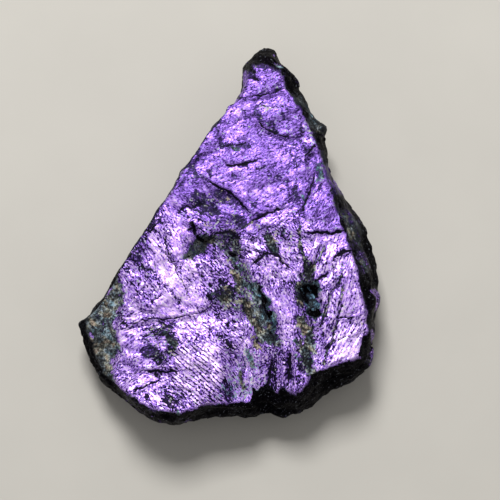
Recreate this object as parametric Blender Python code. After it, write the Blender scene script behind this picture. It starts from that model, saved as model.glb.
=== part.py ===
"""Purpurite hand specimen: one broken slab, lying with its purple cleavage face up.

The slab is shaped like a lopsided pear. Its narrow tip points along +Y, its broad end along -Y, and it rests
on a small flat spot of its underside. The whole stone is one solid. The blank is drawn from the edge of its
cleavage face, chipped by flat fractures below, and then given the steps, cracks, pits and folds of the face.
Places and sizes are in millimetres in a drawing frame, and the finished stone is scaled to metres.
"""

import math

import bmesh
import bpy
import numpy as np
from mathutils import Vector, noise

MM = 0.001

# The slab from top to bottom: heights above its underside, before the face is worked
FACE_HEIGHT = 9.0
BROW_HEIGHT = 7.7
WAIST_HEIGHT = 4.6
KNEE_HEIGHT = 2.4

# How the broken wall leaves the edge of the face: the share of its full reach at the brow, and how far the
# knee and the foot draw back, the foot more at the broad end than at the tip
BROW_REACH = 0.45
KNEE_REACH = 0.9
KNEE_TUCK = 0.35
FOOT_TUCK_TIP = 0.8
FOOT_TUCK_BROAD = 2.2
TIP_Y = 18.0
BROAD_Y = -4.0

# The edge of the cleavage face, clockwise from the left of the tip: x, y, height of the edge above the
# ground, and how far the broken wall below it reaches out beyond it
EDGE = (
    (2.6, 20.7, 8.6, 1.5),
    (4.0, 20.7, 8.7, 3.1),
    (5.0, 20.4, 8.7, 3.6),
    (6.1, 20.3, 8.6, 2.0),
    (6.6, 19.1, 8.7, 1.8),
    (6.9, 17.8, 8.8, 1.9),
    (7.8, 16.8, 8.8, 1.8),
    (8.8, 15.1, 8.7, 1.8),
    (9.7, 13.2, 8.6, 2.2),
    (10.4, 11.5, 8.6, 1.6),
    (11.0, 9.8, 8.7, 0.9),
    (11.6, 7.9, 8.8, 0.9),
    (12.3, 5.3, 9.0, 1.8),
    (12.9, 2.8, 9.2, 2.8),
    (13.8, 0.0, 9.4, 3.1),
    (14.7, -2.8, 9.4, 2.9),
    (15.5, -5.1, 9.2, 2.6),
    (16.0, -7.5, 9.0, 2.1),
    (16.3, -9.6, 8.8, 1.6),
    (16.5, -11.6, 8.7, 1.0),
    (16.4, -12.4, 8.6, 1.1),
    (15.7, -12.7, 8.4, 1.8),
    (15.7, -14.6, 8.4, 1.8),
    (14.4, -15.2, 8.6, 1.9),
    (12.7, -15.8, 8.6, 2.0),
    (11.1, -16.4, 8.4, 2.2),
    (9.9, -16.6, 8.2, 2.8),
    (9.6, -17.5, 8.1, 2.2),
    (8.8, -18.8, 8.0, 1.8),
    (8.1, -19.3, 7.9, 1.8),
    (6.5, -18.3, 7.8, 2.8),
    (5.8, -19.0, 7.7, 2.4),
    (4.7, -18.2, 7.6, 2.6),
    (3.9, -18.9, 7.6, 2.2),
    (2.9, -18.5, 7.7, 2.2),
    (2.8, -20.2, 7.8, 1.2),
    (0.5, -20.2, 7.9, 1.3),
    (-2.4, -20.3, 8.2, 1.2),
    (-4.2, -21.1, 8.5, 1.0),
    (-6.1, -21.5, 8.7, 0.9),
    (-8.2, -21.2, 8.8, 0.9),
    (-10.3, -20.3, 8.7, 0.9),
    (-11.8, -19.2, 8.4, 0.9),
    (-13.3, -18.0, 7.6, 0.8),
    (-14.7, -16.8, 7.2, 0.7),
    (-15.7, -15.2, 7.0, 0.6),
    (-16.5, -13.6, 7.0, 0.5),
    (-17.2, -11.8, 7.1, 0.5),
    (-17.5, -10.4, 7.3, 0.4),
    (-16.6, -9.4, 7.8, 0.4),
    (-15.1, -7.6, 8.2, 0.3),
    (-14.1, -5.8, 8.4, 0.3),
    (-13.1, -3.8, 8.7, 0.3),
    (-11.9, -2.0, 8.9, 0.3),
    (-10.5, 0.3, 9.0, 0.3),
    (-9.3, 2.1, 9.0, 0.4),
    (-8.0, 3.8, 9.0, 0.5),
    (-6.8, 5.5, 9.0, 0.5),
    (-5.7, 7.9, 9.0, 0.4),
    (-4.7, 9.5, 9.0, 0.3),
    (-3.7, 11.1, 8.9, 0.3),
    (-1.6, 13.9, 8.8, 0.3),
    (-0.3, 15.7, 8.8, 0.3),
    (0.9, 16.6, 8.8, 0.3),
    (1.8, 18.1, 8.7, 0.3),
    (2.1, 19.6, 8.6, 0.4),
)
CHIP_SPACING = 0.7
CHIP_DEPTH = 0.13
CHIP_WIDTH = 1.3

# The face crowns a little inside its edge, and takes its height from the nearest stretches of the edge
CROWN = 0.35
CROWN_WIDTH = 8.0
EDGE_PULL_OFFSET = 0.3
EDGE_PULL_POWER = 3

# Rounded lumps that stand out of the broken wall: x, y, height, radius
WALL_LUMPS = (
    (10.8, 13.4, 6.2, 1.3),
    (4.7, 21.9, 5.6, 1.5),
    (7.4, 19.6, 5.4, 1.1),
    (16.1, -13.6, 5.0, 1.2),
    (9.0, -18.8, 4.2, 1.5),
)

# The small flat spot that the stone rests on, and the flat fractures around it: the way each one faces in
# degrees from +X, its distance from the middle of the spot, and its slope in degrees
SPOT_CENTRE = (1.2, -4.6)
SPOT_DEPTH = 0.1
UNDERSIDE_FRACTURES = (
    (4.0, 5.6, 8.0),
    (10.0, 12.5, 26.0),
    (52.0, 6.2, 7.0),
    (94.0, 7.0, 4.5),
    (97.0, 19.5, 12.0),
    (148.0, 5.4, 10.0),
    (194.0, 5.0, 8.0),
    (197.0, 12.6, 26.0),
    (243.0, 5.8, 9.0),
    (290.0, 6.4, 8.0),
    (300.0, 11.5, 24.0),
    (332.0, 6.0, 10.0),
)

# Ledges of the cleavage face: the line of the step, how far the ground on its right hand drops, and how far
# from the step that drop has healed
STEPS = (
    # the long slanting ledge in the middle of the face
    (((-2.9, 6.9), (-1.4, 5.7), (0.3, 4.8), (1.4, 3.7), (2.6, 2.5), (2.5, 1.2), (0.6, 0.4)), 0.5, 5.0),
    # the oval scar below the tip, and the arc above it
    (((3.0, 14.6), (3.9, 13.2), (5.6, 12.1), (8.2, 12.0), (9.6, 12.6)), 0.35, 3.2),
    (((2.2, 17.4), (2.6, 16.7), (4.0, 16.8), (5.4, 17.2), (7.0, 17.9)), 0.28, 2.4),
    # the chip on the right edge
    (((10.7, 11.2), (9.7, 9.9), (9.2, 8.7), (9.5, 7.4), (10.3, 6.6)), -0.45, 2.0),
    # the low ledge across the bright left half, and the two black ones near the broad end
    (((-13.2, -12.8), (-11.4, -10.9), (-8.7, -10.2), (-5.1, -10.0), (-1.6, -8.4), (-0.2, -7.4)), 0.35, 4.0),
    (((-11.0, -16.3), (-8.2, -16.4), (-6.3, -16.5), (-6.0, -17.4)), 0.5, 2.6),
    (((-12.0, -19.2), (-10.2, -18.5), (-8.3, -17.6), (-7.4, -17.1)), 0.3, 2.0),
    # the three cracks that cross the right-hand facets
    (((8.7, 0.0), (10.7, 0.0), (12.3, 0.0), (14.3, 0.5)), 0.4, 3.0),
    (((11.7, -3.8), (12.8, -2.9), (13.9, -2.2), (14.9, -2.3)), 0.3, 2.2),
    (((12.4, -10.2), (13.8, -10.1), (15.9, -10.1)), 0.22, 2.5),
    # the hook-shaped ledge on the left, and the near side of the folded ground
    (((-7.2, 0.8), (-7.5, -2.0), (-6.9, -3.5), (-5.2, -3.1)), 0.25, 2.4),
    (((-0.9, -13.2), (-0.7, -15.5), (-0.8, -17.6), (-0.5, -20.4)), -0.4, 5.0),
)
STEP_SHEER = 0.15

# Grooves and ridges of the face, the ridges with a depth below nought: the line, its depth, its half width
GROOVES = (
    # the slanting valley down the middle
    (((-0.2, -2.2), (1.2, -4.2), (2.8, -7.8), (4.4, -10.2), (5.6, -12.8), (5.2, -14.6)), 0.8, 1.5),
    # the two long creases of the right-hand facets
    (((13.9, -3.5), (12.7, -6.6), (11.8, -8.6), (10.7, -11.6), (9.9, -14.7)), 0.3, 0.6),
    (((13.7, -6.0), (13.4, -9.0), (12.5, -11.9), (11.7, -15.0)), 0.3, 0.6),
    # the crevice at the corner of the dark hollow
    (((-5.3, 0.5), (-4.1, 0.7), (-3.8, -0.6), (-4.8, -1.8)), 0.55, 0.55),
    # the folds that run down to the broad end
    (((5.2, -15.0), (5.0, -16.8), (4.5, -18.6)), 0.45, 0.7),
    (((7.4, -13.8), (7.2, -15.8), (7.0, -18.2)), 0.45, 0.6),
    (((6.5, -14.2), (6.4, -16.4), (6.3, -18.2)), -0.4, 0.6),
    (((3.6, -14.4), (3.3, -16.6), (3.4, -18.8)), -0.35, 0.8),
    # fine dark lines of the upper half
    (((10.5, 7.9), (9.6, 5.0), (8.3, 1.0)), 0.2, 0.5),
    (((2.6, 1.4), (4.6, 2.4), (7.2, 3.1)), 0.22, 0.6),
    (((-0.9, 9.0), (-0.1, 8.2), (1.4, 8.3), (4.1, 8.9)), 0.18, 0.5),
    (((-6.2, 2.5), (-5.2, 3.2), (-2.8, 3.7)), 0.2, 0.7),
    # mottled troughs between the middle and the pit
    (((3.4, 0.5), (5.6, -0.4), (7.4, -2.2), (9.6, -4.8)), 0.28, 0.9),
    (((11.3, -0.8), (10.9, -2.2), (9.5, -4.7), (8.9, -6.4)), 0.28, 0.8),
    (((11.9, -4.3), (11.5, -5.0), (10.3, -5.9)), 0.3, 0.35),
)

# Steps and grooves run out towards their ends: the share of the depth left there, and of the line that thins
LINE_END_DEPTH = 0.15
LINE_TAPER = 0.3

# Hollows of the face: the outline of each, its depth, and the width of its sloping rim
PIT = ((8.5, -6.4), (9.6, -6.0), (10.8, -6.9), (11.2, -8.6), (10.8, -10.2), (9.2, -9.7), (8.4, -8.0))
DARK_HOLLOW = (
    (-5.4, 0.2),
    (-3.5, -0.3),
    (0.4, 0.1),
    (1.6, -1.2),
    (1.2, -2.7),
    (-1.2, -1.1),
    (-3.6, -3.4),
    (-5.6, -2.8),
)
LOW_CORNER = (
    (-12.7, -4.4),
    (-12.7, -8.6),
    (-13.2, -12.0),
    (-13.1, -14.6),
    (-13.8, -16.2),
    (-12.8, -18.8),
    (-19.0, -18.0),
    (-20.0, -9.0),
)
BELT_BELOW_PIT = ((9.0, -10.4), (10.2, -10.6), (9.9, -16.9), (8.6, -16.9))
RIGHT_DIP = ((12.6, 7.9), (11.2, 8.4), (10.2, 7.2), (10.8, 6.0), (12.6, 5.4))
FOLDED_GROUND = ((-0.6, -14.6), (7.6, -13.8), (8.4, -20.0), (-0.6, -21.0))
HOLLOWS = (
    (PIT, 1.3, 0.7),
    (DARK_HOLLOW, 0.5, 0.9),
    (LOW_CORNER, 0.9, 0.8),
    (BELT_BELOW_PIT, 0.4, 0.8),
    (RIGHT_DIP, 0.45, 0.9),
    (FOLDED_GROUND, 0.35, 1.4),
)
HOLLOW_LIP = 0.2

# Broad waves and small lumps of the face as height and width, and its uneven cleavage plates
FACE_WAVE = (0.32, 6.5)
FACE_LUMP = (0.12, 1.7)
PLATE_DROP = 0.1
PLATE_WIDTH = 3.4
PLATE_WOBBLE = (0.6, 2.2)

# Ledges of the broken wall: the height between them, how far they stand out, the share of that height that
# is the shelf, how they wander up and down, and where they die out
LEDGE_PITCH = 2.3
LEDGE_REACH = 0.6
LEDGE_SHELF = 0.22
LEDGE_WANDER = (1.5, 8.0)
LEDGE_PATCH_WIDTH = 4.5
LEDGE_PATCH = (-0.35, 0.25)
LEDGE_FOOT = (1.0, 2.2)

# Lumps and grit of the broken wall as height and width, and how far it stands back from its outline
WALL_WAVE = (0.4, 3.2)
WALL_GRIT = (0.18, 1.1)
WALL_SETBACK = 0.12
WALL_TOP = (8.7, 9.0)
UNDERSIDE_SHARE = 0.45
UNDERSIDE_NORMAL = -0.7
UNDERSIDE_START = (0.1, 0.5)

# Where the work on the face dies out down the wall, as shares of the slab's height
FACE_WORK = (0.62, 0.97)

# The mesh: an even skin, then fewer triangles
SKIN_VOXEL = 0.3
TRIANGLES = 8600
SMALLEST_GAP = 0.03
CUT_TOLERANCE = 1e-5
LUMP_SUBDIVISIONS = 3
SHARP_ANGLE = math.radians(32.0)
NOISE_SEED = 11

STONE_PURPLE = (0.32, 0.18, 0.55, 1.0)
STONE_METALLIC = 0.55
STONE_ROUGHNESS = 0.38


def clear_scene():
    for old in list(bpy.data.objects):
        bpy.data.objects.remove(old, do_unlink=True)


def noise_at(points, width, seed):
    """Smooth noise from -1 to 1 at each point, with lumps about as wide as the given width."""
    shift = Vector((seed * 7.3, seed * 3.1, seed * 5.7))
    return np.array([noise.noise(Vector(point) / width + shift) for point in points])


def fading(value, start, end):
    """1 at the start value, 0 at the end value, and a smooth slope between them."""
    along = np.clip((value - start) / (end - start), 0.0, 1.0)
    return 1.0 - along * along * (3.0 - 2.0 * along)


def rising(value, start, end):
    """0 at the start value, 1 at the end value, and a smooth slope between them."""
    return 1.0 - fading(value, start, end)


def on_ground(spots):
    return np.column_stack([spots, np.zeros(len(spots))])


def from_line(spots, line):
    """Each spot's distance from a line of points, its side, +1 on the right hand, and its place along it."""
    corners = np.array(line)
    runs = corners[1:] - corners[:-1]
    lengths = np.hypot(runs[:, 0], runs[:, 1])
    passed = np.concatenate([[0.0], np.cumsum(lengths)])
    nearest = np.full(len(spots), np.inf)
    side = np.ones(len(spots))
    place = np.zeros(len(spots))
    for start, run, length, before in zip(corners, runs, lengths, passed):
        along = np.clip((spots - start) @ run / length**2, 0.0, 1.0)
        away = spots - start - along[:, None] * run
        distance = np.hypot(away[:, 0], away[:, 1])
        closer = distance < nearest
        across = run[0] * away[:, 1] - run[1] * away[:, 0]
        side = np.where(closer, np.where(across < 0.0, 1.0, -1.0), side)
        place = np.where(closer, (before + along * length) / passed[-1], place)
        nearest = np.where(closer, distance, nearest)
    return nearest, side, place


def tapered(place):
    """1 along the middle of a line and LINE_END_DEPTH at both of its ends."""
    to_end = np.minimum(place, 1.0 - place)
    return 1.0 - (1.0 - LINE_END_DEPTH) * fading(to_end, 0.0, LINE_TAPER)


def inside(spots, outline):
    """Which of the spots lie within a closed outline."""
    within = np.zeros(len(spots), bool)
    for (x0, y0), (x1, y1) in zip(outline, outline[1:] + outline[:1]):
        if y0 == y1:
            continue
        crosses = (spots[:, 1] < y0) != (spots[:, 1] < y1)
        at = x0 + (spots[:, 1] - y0) * (x1 - x0) / (y1 - y0)
        within ^= crosses & (spots[:, 0] < at)
    return within


def edge_of_face():
    """The edge table drawn with a chip every CHIP_SPACING: places, wall reaches and outward directions."""
    corners = np.array(EDGE)
    rows = []
    for here, there in zip(corners, np.roll(corners, -1, axis=0)):
        run = np.hypot(*(there - here)[:2])
        pieces = max(1, round(run / CHIP_SPACING))
        rows += [here + (there - here) * piece / pieces for piece in range(pieces)]
    rows = np.array(rows)
    ahead = np.roll(rows, -1, axis=0)[:, :2] - np.roll(rows, 1, axis=0)[:, :2]
    outward = np.stack([-ahead[:, 1], ahead[:, 0]], axis=1)
    outward /= np.hypot(outward[:, 0], outward[:, 1])[:, None]
    chips = CHIP_DEPTH * noise_at(on_ground(rows[:, :2]), CHIP_WIDTH, 1)
    return rows[:, :2] + outward * chips[:, None], rows[:, 3], outward


def blank_slab():
    """The stone before its surface is worked: face, brow, waist, knee and foot, and a flat underside."""
    places, reach, outward = edge_of_face()
    tuck = FOOT_TUCK_TIP + (FOOT_TUCK_BROAD - FOOT_TUCK_TIP) * fading(places[:, 1], BROAD_Y, TIP_Y)
    profile = (
        (BROW_REACH * reach, BROW_HEIGHT),
        (reach, WAIST_HEIGHT),
        (KNEE_REACH * reach - KNEE_TUCK, KNEE_HEIGHT),
        (-tuck, 0.0),
    )
    blank = bmesh.new()
    ring = [blank.verts.new((x, y, FACE_HEIGHT)) for x, y in places]
    blank.faces.new(ring)
    for out, height in profile:
        below = [blank.verts.new((x, y, height)) for x, y in places + outward * out[:, None]]
        for i in range(len(ring)):
            blank.faces.new((ring[i - 1], ring[i], below[i], below[i - 1]))
        ring = below
    blank.faces.new(ring)
    bmesh.ops.recalc_face_normals(blank, faces=blank.faces)
    return blank


def cut_away(solid, place, normal):
    """Takes off everything of a solid that lies beyond a plane, on the side its normal points to."""
    return bmesh.ops.bisect_plane(
        solid,
        geom=solid.verts[:] + solid.edges[:] + solid.faces[:],
        dist=CUT_TOLERANCE,
        plane_co=place,
        plane_no=normal,
        clear_outer=True,
    )["geom_cut"]


def break_underside(blank):
    """Cuts the underside with flat fractures, which leave a small flat spot in the middle."""
    for bearing, distance, slope in UNDERSIDE_FRACTURES:
        facing = Vector((math.cos(math.radians(bearing)), math.sin(math.radians(bearing)), 0.0))
        tilt = math.radians(slope)
        normal = facing * math.sin(tilt) - Vector((0.0, 0.0, math.cos(tilt)))
        cut = cut_away(blank, Vector((*SPOT_CENTRE, 0.0)) + facing * distance, normal)
        bmesh.ops.holes_fill(blank, edges=[item for item in cut if isinstance(item, bmesh.types.BMEdge)])


def add_lumps(blank):
    for x, y, height, radius in WALL_LUMPS:
        lump = bmesh.ops.create_icosphere(blank, subdivisions=LUMP_SUBDIVISIONS, radius=radius)["verts"]
        bmesh.ops.translate(blank, verts=lump, vec=(x, y, height))


def modified(mesh, kind, **settings):
    """A copy of a mesh with one modifier applied."""
    holder = bpy.data.objects.new("holder", mesh)
    bpy.context.scene.collection.objects.link(holder)
    modifier = holder.modifiers.new("work", kind)
    for name, value in settings.items():
        setattr(modifier, name, value)
    worked = bpy.data.meshes.new_from_object(holder.evaluated_get(bpy.context.evaluated_depsgraph_get()))
    bpy.data.objects.remove(holder, do_unlink=True)
    return worked


def edge_height(spots):
    """Height of the face at each spot, carried in from the heights of its edge, and a low crown."""
    total = np.zeros(len(spots))
    weight = np.zeros(len(spots))
    nearest = np.full(len(spots), np.inf)
    for x, y, height, _ in EDGE:
        distance = np.hypot(spots[:, 0] - x, spots[:, 1] - y)
        pull = 1.0 / (distance + EDGE_PULL_OFFSET) ** EDGE_PULL_POWER
        total += pull * height
        weight += pull
        nearest = np.minimum(nearest, distance)
    return total / weight + CROWN * rising(nearest, 0.0, CROWN_WIDTH)


def plates(spots):
    """Cleavage plates: each cell of an uneven slanting grid sits a little higher or lower than the next."""
    height, width = PLATE_WOBBLE
    wobble = height * noise_at(on_ground(spots), width, 2)
    heights = []
    for (x, y), shift in zip(spots, wobble):
        slanted = Vector((0.7 * x + 0.35 * y + shift, 0.9 * y - 0.5 * x - shift, 4.0))
        heights.append(noise.cell(slanted / PLATE_WIDTH))
    return PLATE_DROP * np.array(heights)


def face_relief(spots):
    """How far the cleavage face rises or falls at each spot: its plates, steps, grooves and hollows."""
    relief = plates(spots)
    for (height, width), seed in ((FACE_WAVE, 3), (FACE_LUMP, 4)):
        relief += height * noise_at(on_ground(spots), width, seed)
    for line, drop, healed in STEPS:
        distance, side, place = from_line(spots, line)
        sheer = rising(side * distance, -STEP_SHEER, STEP_SHEER)
        relief -= drop * tapered(place) * fading(distance, 0.0, healed) * sheer
    for line, depth, half_width in GROOVES:
        distance, _, place = from_line(spots, line)
        relief -= depth * tapered(place) * fading(distance, 0.0, half_width)
    for outline, depth, slope in HOLLOWS:
        distance, _, _ = from_line(spots, outline + outline[:1])
        signed = np.where(inside(spots, outline), -distance, distance)
        relief -= depth * fading(signed, -slope, HOLLOW_LIP)
    return relief


def wall_relief(places):
    """How far the broken wall stands out or back at each place: patches of ledges, lumps and grit."""
    height, width = LEDGE_WANDER
    climb = np.mod((places[:, 2] + height * noise_at(places, width, 5)) / LEDGE_PITCH, 1.0)
    shelf = np.where(climb < LEDGE_SHELF, climb / LEDGE_SHELF, (1.0 - climb) / (1.0 - LEDGE_SHELF))
    patch = rising(noise_at(places, LEDGE_PATCH_WIDTH, 8), *LEDGE_PATCH)
    relief = LEDGE_REACH * (shelf - 0.5) * patch * rising(places[:, 2], *LEDGE_FOOT) - WALL_SETBACK
    for (height, width), seed in ((WALL_WAVE, 6), (WALL_GRIT, 7)):
        relief += height * noise_at(places, width, seed)
    return relief


def vertex_array(mesh, attribute):
    values = np.empty(len(mesh.vertices) * 3)
    mesh.vertices.foreach_get(attribute, values)
    return values.reshape(-1, 3)


def work_surface(mesh):
    """Raises and lowers the face, and works ledges and lumps into the broken walls and the underside."""
    places = vertex_array(mesh, "co")
    normals = vertex_array(mesh, "normal")
    upright = np.hypot(normals[:, 0], normals[:, 1]) * fading(places[:, 2], *WALL_TOP)
    share = np.where(normals[:, 2] < UNDERSIDE_NORMAL, UNDERSIDE_SHARE, upright)
    share *= rising(places[:, 2], *UNDERSIDE_START)
    places += normals * (wall_relief(places) * share)[:, None]

    spots = places[:, :2]
    height = places[:, 2] / FACE_HEIGHT
    places[:, 2] = height * edge_height(spots) + face_relief(spots) * rising(height, *FACE_WORK)
    mesh.vertices.foreach_set("co", places.ravel())
    mesh.update()


def flatten_spot(stone):
    """Cuts the resting spot truly flat, and moves the stone so that its origin lies under its middle."""
    cut = cut_away(stone, (0.0, 0.0, SPOT_DEPTH), (0.0, 0.0, -1.0))
    rim = [item for item in cut if isinstance(item, bmesh.types.BMVert)]
    bmesh.ops.remove_doubles(stone, verts=rim, dist=SMALLEST_GAP)
    bmesh.ops.holes_fill(stone, edges=[edge for edge in stone.edges if edge.is_boundary])
    bmesh.ops.triangulate(stone, faces=stone.faces[:])
    lowest = Vector(min(vertex.co[axis] for vertex in stone.verts) for axis in range(3))
    highest = Vector(max(vertex.co[axis] for vertex in stone.verts) for axis in range(3))
    middle = (lowest + highest) / 2.0
    bmesh.ops.translate(stone, verts=stone.verts, vec=(-middle.x, -middle.y, -SPOT_DEPTH))


def purple_stone():
    material = bpy.data.materials.new("purple stone")
    material.use_nodes = True
    shader = material.node_tree.nodes["Principled BSDF"]
    shader.inputs["Base Color"].default_value = STONE_PURPLE
    shader.inputs["Metallic"].default_value = STONE_METALLIC
    shader.inputs["Roughness"].default_value = STONE_ROUGHNESS
    return material


def build_stone():
    noise.seed_set(NOISE_SEED)
    blank = blank_slab()
    break_underside(blank)
    add_lumps(blank)
    rough = bpy.data.meshes.new("blank")
    blank.to_mesh(rough)
    blank.free()

    skin = modified(rough, "REMESH", mode="VOXEL", voxel_size=SKIN_VOXEL)
    work_surface(skin)
    skin_triangles = sum(len(face.vertices) - 2 for face in skin.polygons)
    light = modified(skin, "DECIMATE", ratio=TRIANGLES / skin_triangles, use_collapse_triangulate=True)

    stone = bmesh.new()
    stone.from_mesh(light)
    flatten_spot(stone)
    bmesh.ops.scale(stone, verts=stone.verts, vec=(MM, MM, MM))
    mesh = bpy.data.meshes.new("purpurite")
    stone.to_mesh(mesh)
    stone.free()
    mesh.shade_smooth()
    mesh.set_sharp_from_angle(angle=SHARP_ANGLE)
    mesh.materials.append(purple_stone())
    piece = bpy.data.objects.new("purpurite", mesh)
    bpy.context.scene.collection.objects.link(piece)


clear_scene()
build_stone()
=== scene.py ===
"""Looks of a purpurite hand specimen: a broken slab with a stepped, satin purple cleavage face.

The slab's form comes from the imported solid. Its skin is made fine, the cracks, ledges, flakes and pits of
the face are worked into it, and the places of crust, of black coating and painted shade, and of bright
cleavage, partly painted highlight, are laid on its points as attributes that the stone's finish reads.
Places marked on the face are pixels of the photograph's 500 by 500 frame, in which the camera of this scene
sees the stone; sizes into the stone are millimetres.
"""

import itertools
import logging
import math
from dataclasses import dataclass
from enum import Enum, IntEnum, auto

import bmesh
import bpy
import numpy as np
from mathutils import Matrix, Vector


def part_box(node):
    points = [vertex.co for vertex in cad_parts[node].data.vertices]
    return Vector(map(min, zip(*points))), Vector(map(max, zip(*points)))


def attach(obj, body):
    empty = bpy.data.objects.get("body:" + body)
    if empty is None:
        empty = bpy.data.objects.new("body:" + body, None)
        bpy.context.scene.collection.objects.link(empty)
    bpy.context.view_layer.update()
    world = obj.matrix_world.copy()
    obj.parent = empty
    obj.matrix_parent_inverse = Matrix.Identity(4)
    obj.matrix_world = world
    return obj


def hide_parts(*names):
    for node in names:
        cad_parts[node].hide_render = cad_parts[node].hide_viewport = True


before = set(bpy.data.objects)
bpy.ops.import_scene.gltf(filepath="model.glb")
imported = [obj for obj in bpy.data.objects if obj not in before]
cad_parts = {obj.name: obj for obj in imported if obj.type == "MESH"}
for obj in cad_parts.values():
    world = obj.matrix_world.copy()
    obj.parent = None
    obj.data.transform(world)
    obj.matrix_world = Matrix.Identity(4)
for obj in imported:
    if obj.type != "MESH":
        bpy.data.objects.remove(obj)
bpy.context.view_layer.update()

LOG = logging.getLogger("purpurite")
MM = 0.001
FRAME_PIXELS = 500
SENSOR = 36.0
Path = tuple[tuple[float, float], ...]

# What mixes the bits of whole numbers until they look random
WORD = 0xFFFFFFFF
SEED_FACTOR, SEED_START = 668265263, 374761393
COLUMN_FACTORS = (2246822519, 3266489917, 1597334677)
STIR_FACTOR, STIR_SHIFT, LAST_SHIFT = 2654435761, 15, 13
# How far the lattice of the grain is shifted, so that no place is special
LATTICE_SHIFT = 31.7
# How much further a cell's seed goes on for its middle's next coordinate
AXIS_SEED = 17


def fading(value: np.ndarray, start: float, end: float) -> np.ndarray:
    """Falls smoothly from 1 at the start value to 0 at the end value.

    Args:
        value: The numbers to read.
        start: Where the result is still 1.
        end: Where the result has come down to 0.

    Returns:
        A number from 0 to 1 for each value.
    """
    along = np.clip((value - start) / (end - start), 0.0, 1.0)
    return 1.0 - along * along * (3.0 - 2.0 * along)


def rising(value: np.ndarray, start: float, end: float) -> np.ndarray:
    """Rises smoothly from 0 at the start value to 1 at the end value.

    Args:
        value: The numbers to read.
        start: Where the result is still 0.
        end: Where the result has come up to 1.

    Returns:
        A number from 0 to 1 for each value.
    """
    return 1.0 - fading(value, start, end)


def scattered(cell: np.ndarray, seed: int) -> np.ndarray:
    """Gives each whole-numbered cell a fixed number that looks random.

    Args:
        cell: Whole numbers, a row for each point.
        seed: Chooses one set of numbers.

    Returns:
        A number from 0 to 1 for each row.
    """
    mixed = np.full(len(cell), seed * SEED_FACTOR + SEED_START, np.uint64)
    for column, factor in zip(cell.T, COLUMN_FACTORS):
        whole = column.astype(np.int64).astype(np.uint64)
        mixed = (mixed ^ (whole * np.uint64(factor))) & np.uint64(WORD)
        mixed = ((mixed ^ (mixed >> np.uint64(STIR_SHIFT))) * np.uint64(STIR_FACTOR)) & np.uint64(WORD)
    mixed ^= mixed >> np.uint64(LAST_SHIFT)
    return mixed.astype(float) / WORD


def swayed(cell: np.ndarray, seed: int) -> np.ndarray:
    """Gives each whole-numbered cell a fixed number from -1 to 1 that looks random."""
    return 2.0 * scattered(cell, seed) - 1.0


def grain(points: np.ndarray, width: float | tuple[float, ...], seed: int) -> np.ndarray:
    """Smooth random grain over points in two or three dimensions.

    Args:
        points: The points, a row each.
        width: How wide the grain is, or a width for each direction.
        seed: Chooses one pattern.

    Returns:
        A number from -1 to 1 for each point.
    """
    lattice = points / np.array(width) + LATTICE_SHIFT
    cell = np.floor(lattice)
    share = lattice - cell
    share = share * share * share * (share * (share * 6.0 - 15.0) + 10.0)
    total = np.zeros(len(points))
    for corner in itertools.product((0, 1), repeat=points.shape[1]):
        weight = np.prod(np.where(corner, share, 1.0 - share), axis=1)
        total += weight * scattered(cell + np.array(corner), seed)
    return 2.0 * total - 1.0


def cells(points: np.ndarray, seed: int) -> tuple[np.ndarray, np.ndarray]:
    """Parts space into irregular cells about one unit wide.

    Args:
        points: The points, a row each.
        seed: Chooses one pattern.

    Returns:
        The cell of each point, and where the point lies from the cell's middle.
    """
    base = np.floor(points)
    axes = range(points.shape[1])
    nearest = np.full(len(points), np.inf)
    keys = base.copy()
    offsets = np.zeros_like(points)
    for step in itertools.product((-1, 0, 1), repeat=len(axes)):
        cell = base + np.array(step)
        middle = cell + np.column_stack([scattered(cell, seed + AXIS_SEED * axis) for axis in axes])
        away = points - middle
        distance = (away**2).sum(axis=1)
        closer = distance < nearest
        keys[closer] = cell[closer]
        offsets[closer] = away[closer]
        nearest = np.where(closer, distance, nearest)
    return keys, offsets


def turned(points: np.ndarray, degrees: float | np.ndarray) -> np.ndarray:
    """Turns flat points so that the given direction lies along the first axis.

    Args:
        points: Points in the photograph's frame, y down.
        degrees: The direction, from right towards up, for all points or for each.

    Returns:
        The turned points.
    """
    angle = np.radians(degrees)
    along = points[:, 0] * np.cos(angle) - points[:, 1] * np.sin(angle)
    across = points[:, 0] * np.sin(angle) + points[:, 1] * np.cos(angle)
    return np.column_stack([along, across])


def tapered(along: np.ndarray, left: float = 0.25, share: float = 0.25) -> np.ndarray:
    """Thins a line towards both of its ends.

    Args:
        along: Places along the line, from 0 to 1.
        left: What is left at the ends.
        share: The share of the line that thins.

    Returns:
        A number from left to 1 for each place.
    """
    return 1.0 - (1.0 - left) * fading(np.minimum(along, 1.0 - along), 0.0, share)


@dataclass(frozen=True)
class Grain:
    """Smooth random grain of one size.

    Attributes:
        width: How wide it is, or a width for each direction.
        strength: How far it goes up and down.
        seed: Chooses the pattern.
    """

    width: float | tuple[float, ...]
    strength: float
    seed: int

    def at(self, points: np.ndarray, further: int = 0) -> np.ndarray:
        """The grain at each point, with a seed so much further on."""
        return self.strength * grain(points, self.width, self.seed + further)


@dataclass(frozen=True)
class Warp:
    """A smooth random shift of flat points.

    Attributes:
        width: How wide its waves are, in pixels.
        along: How far it shifts points along the first axis, in pixels.
        across: How far it shifts them along the second.
        seed: Chooses the pattern.
    """

    width: float
    along: float
    across: float
    seed: int

    def at(self, points: np.ndarray) -> np.ndarray:
        """The shift of each point."""
        ways = enumerate((self.along, self.across))
        return np.column_stack([Grain(self.width, way, self.seed).at(points, axis) for axis, way in ways])


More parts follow.
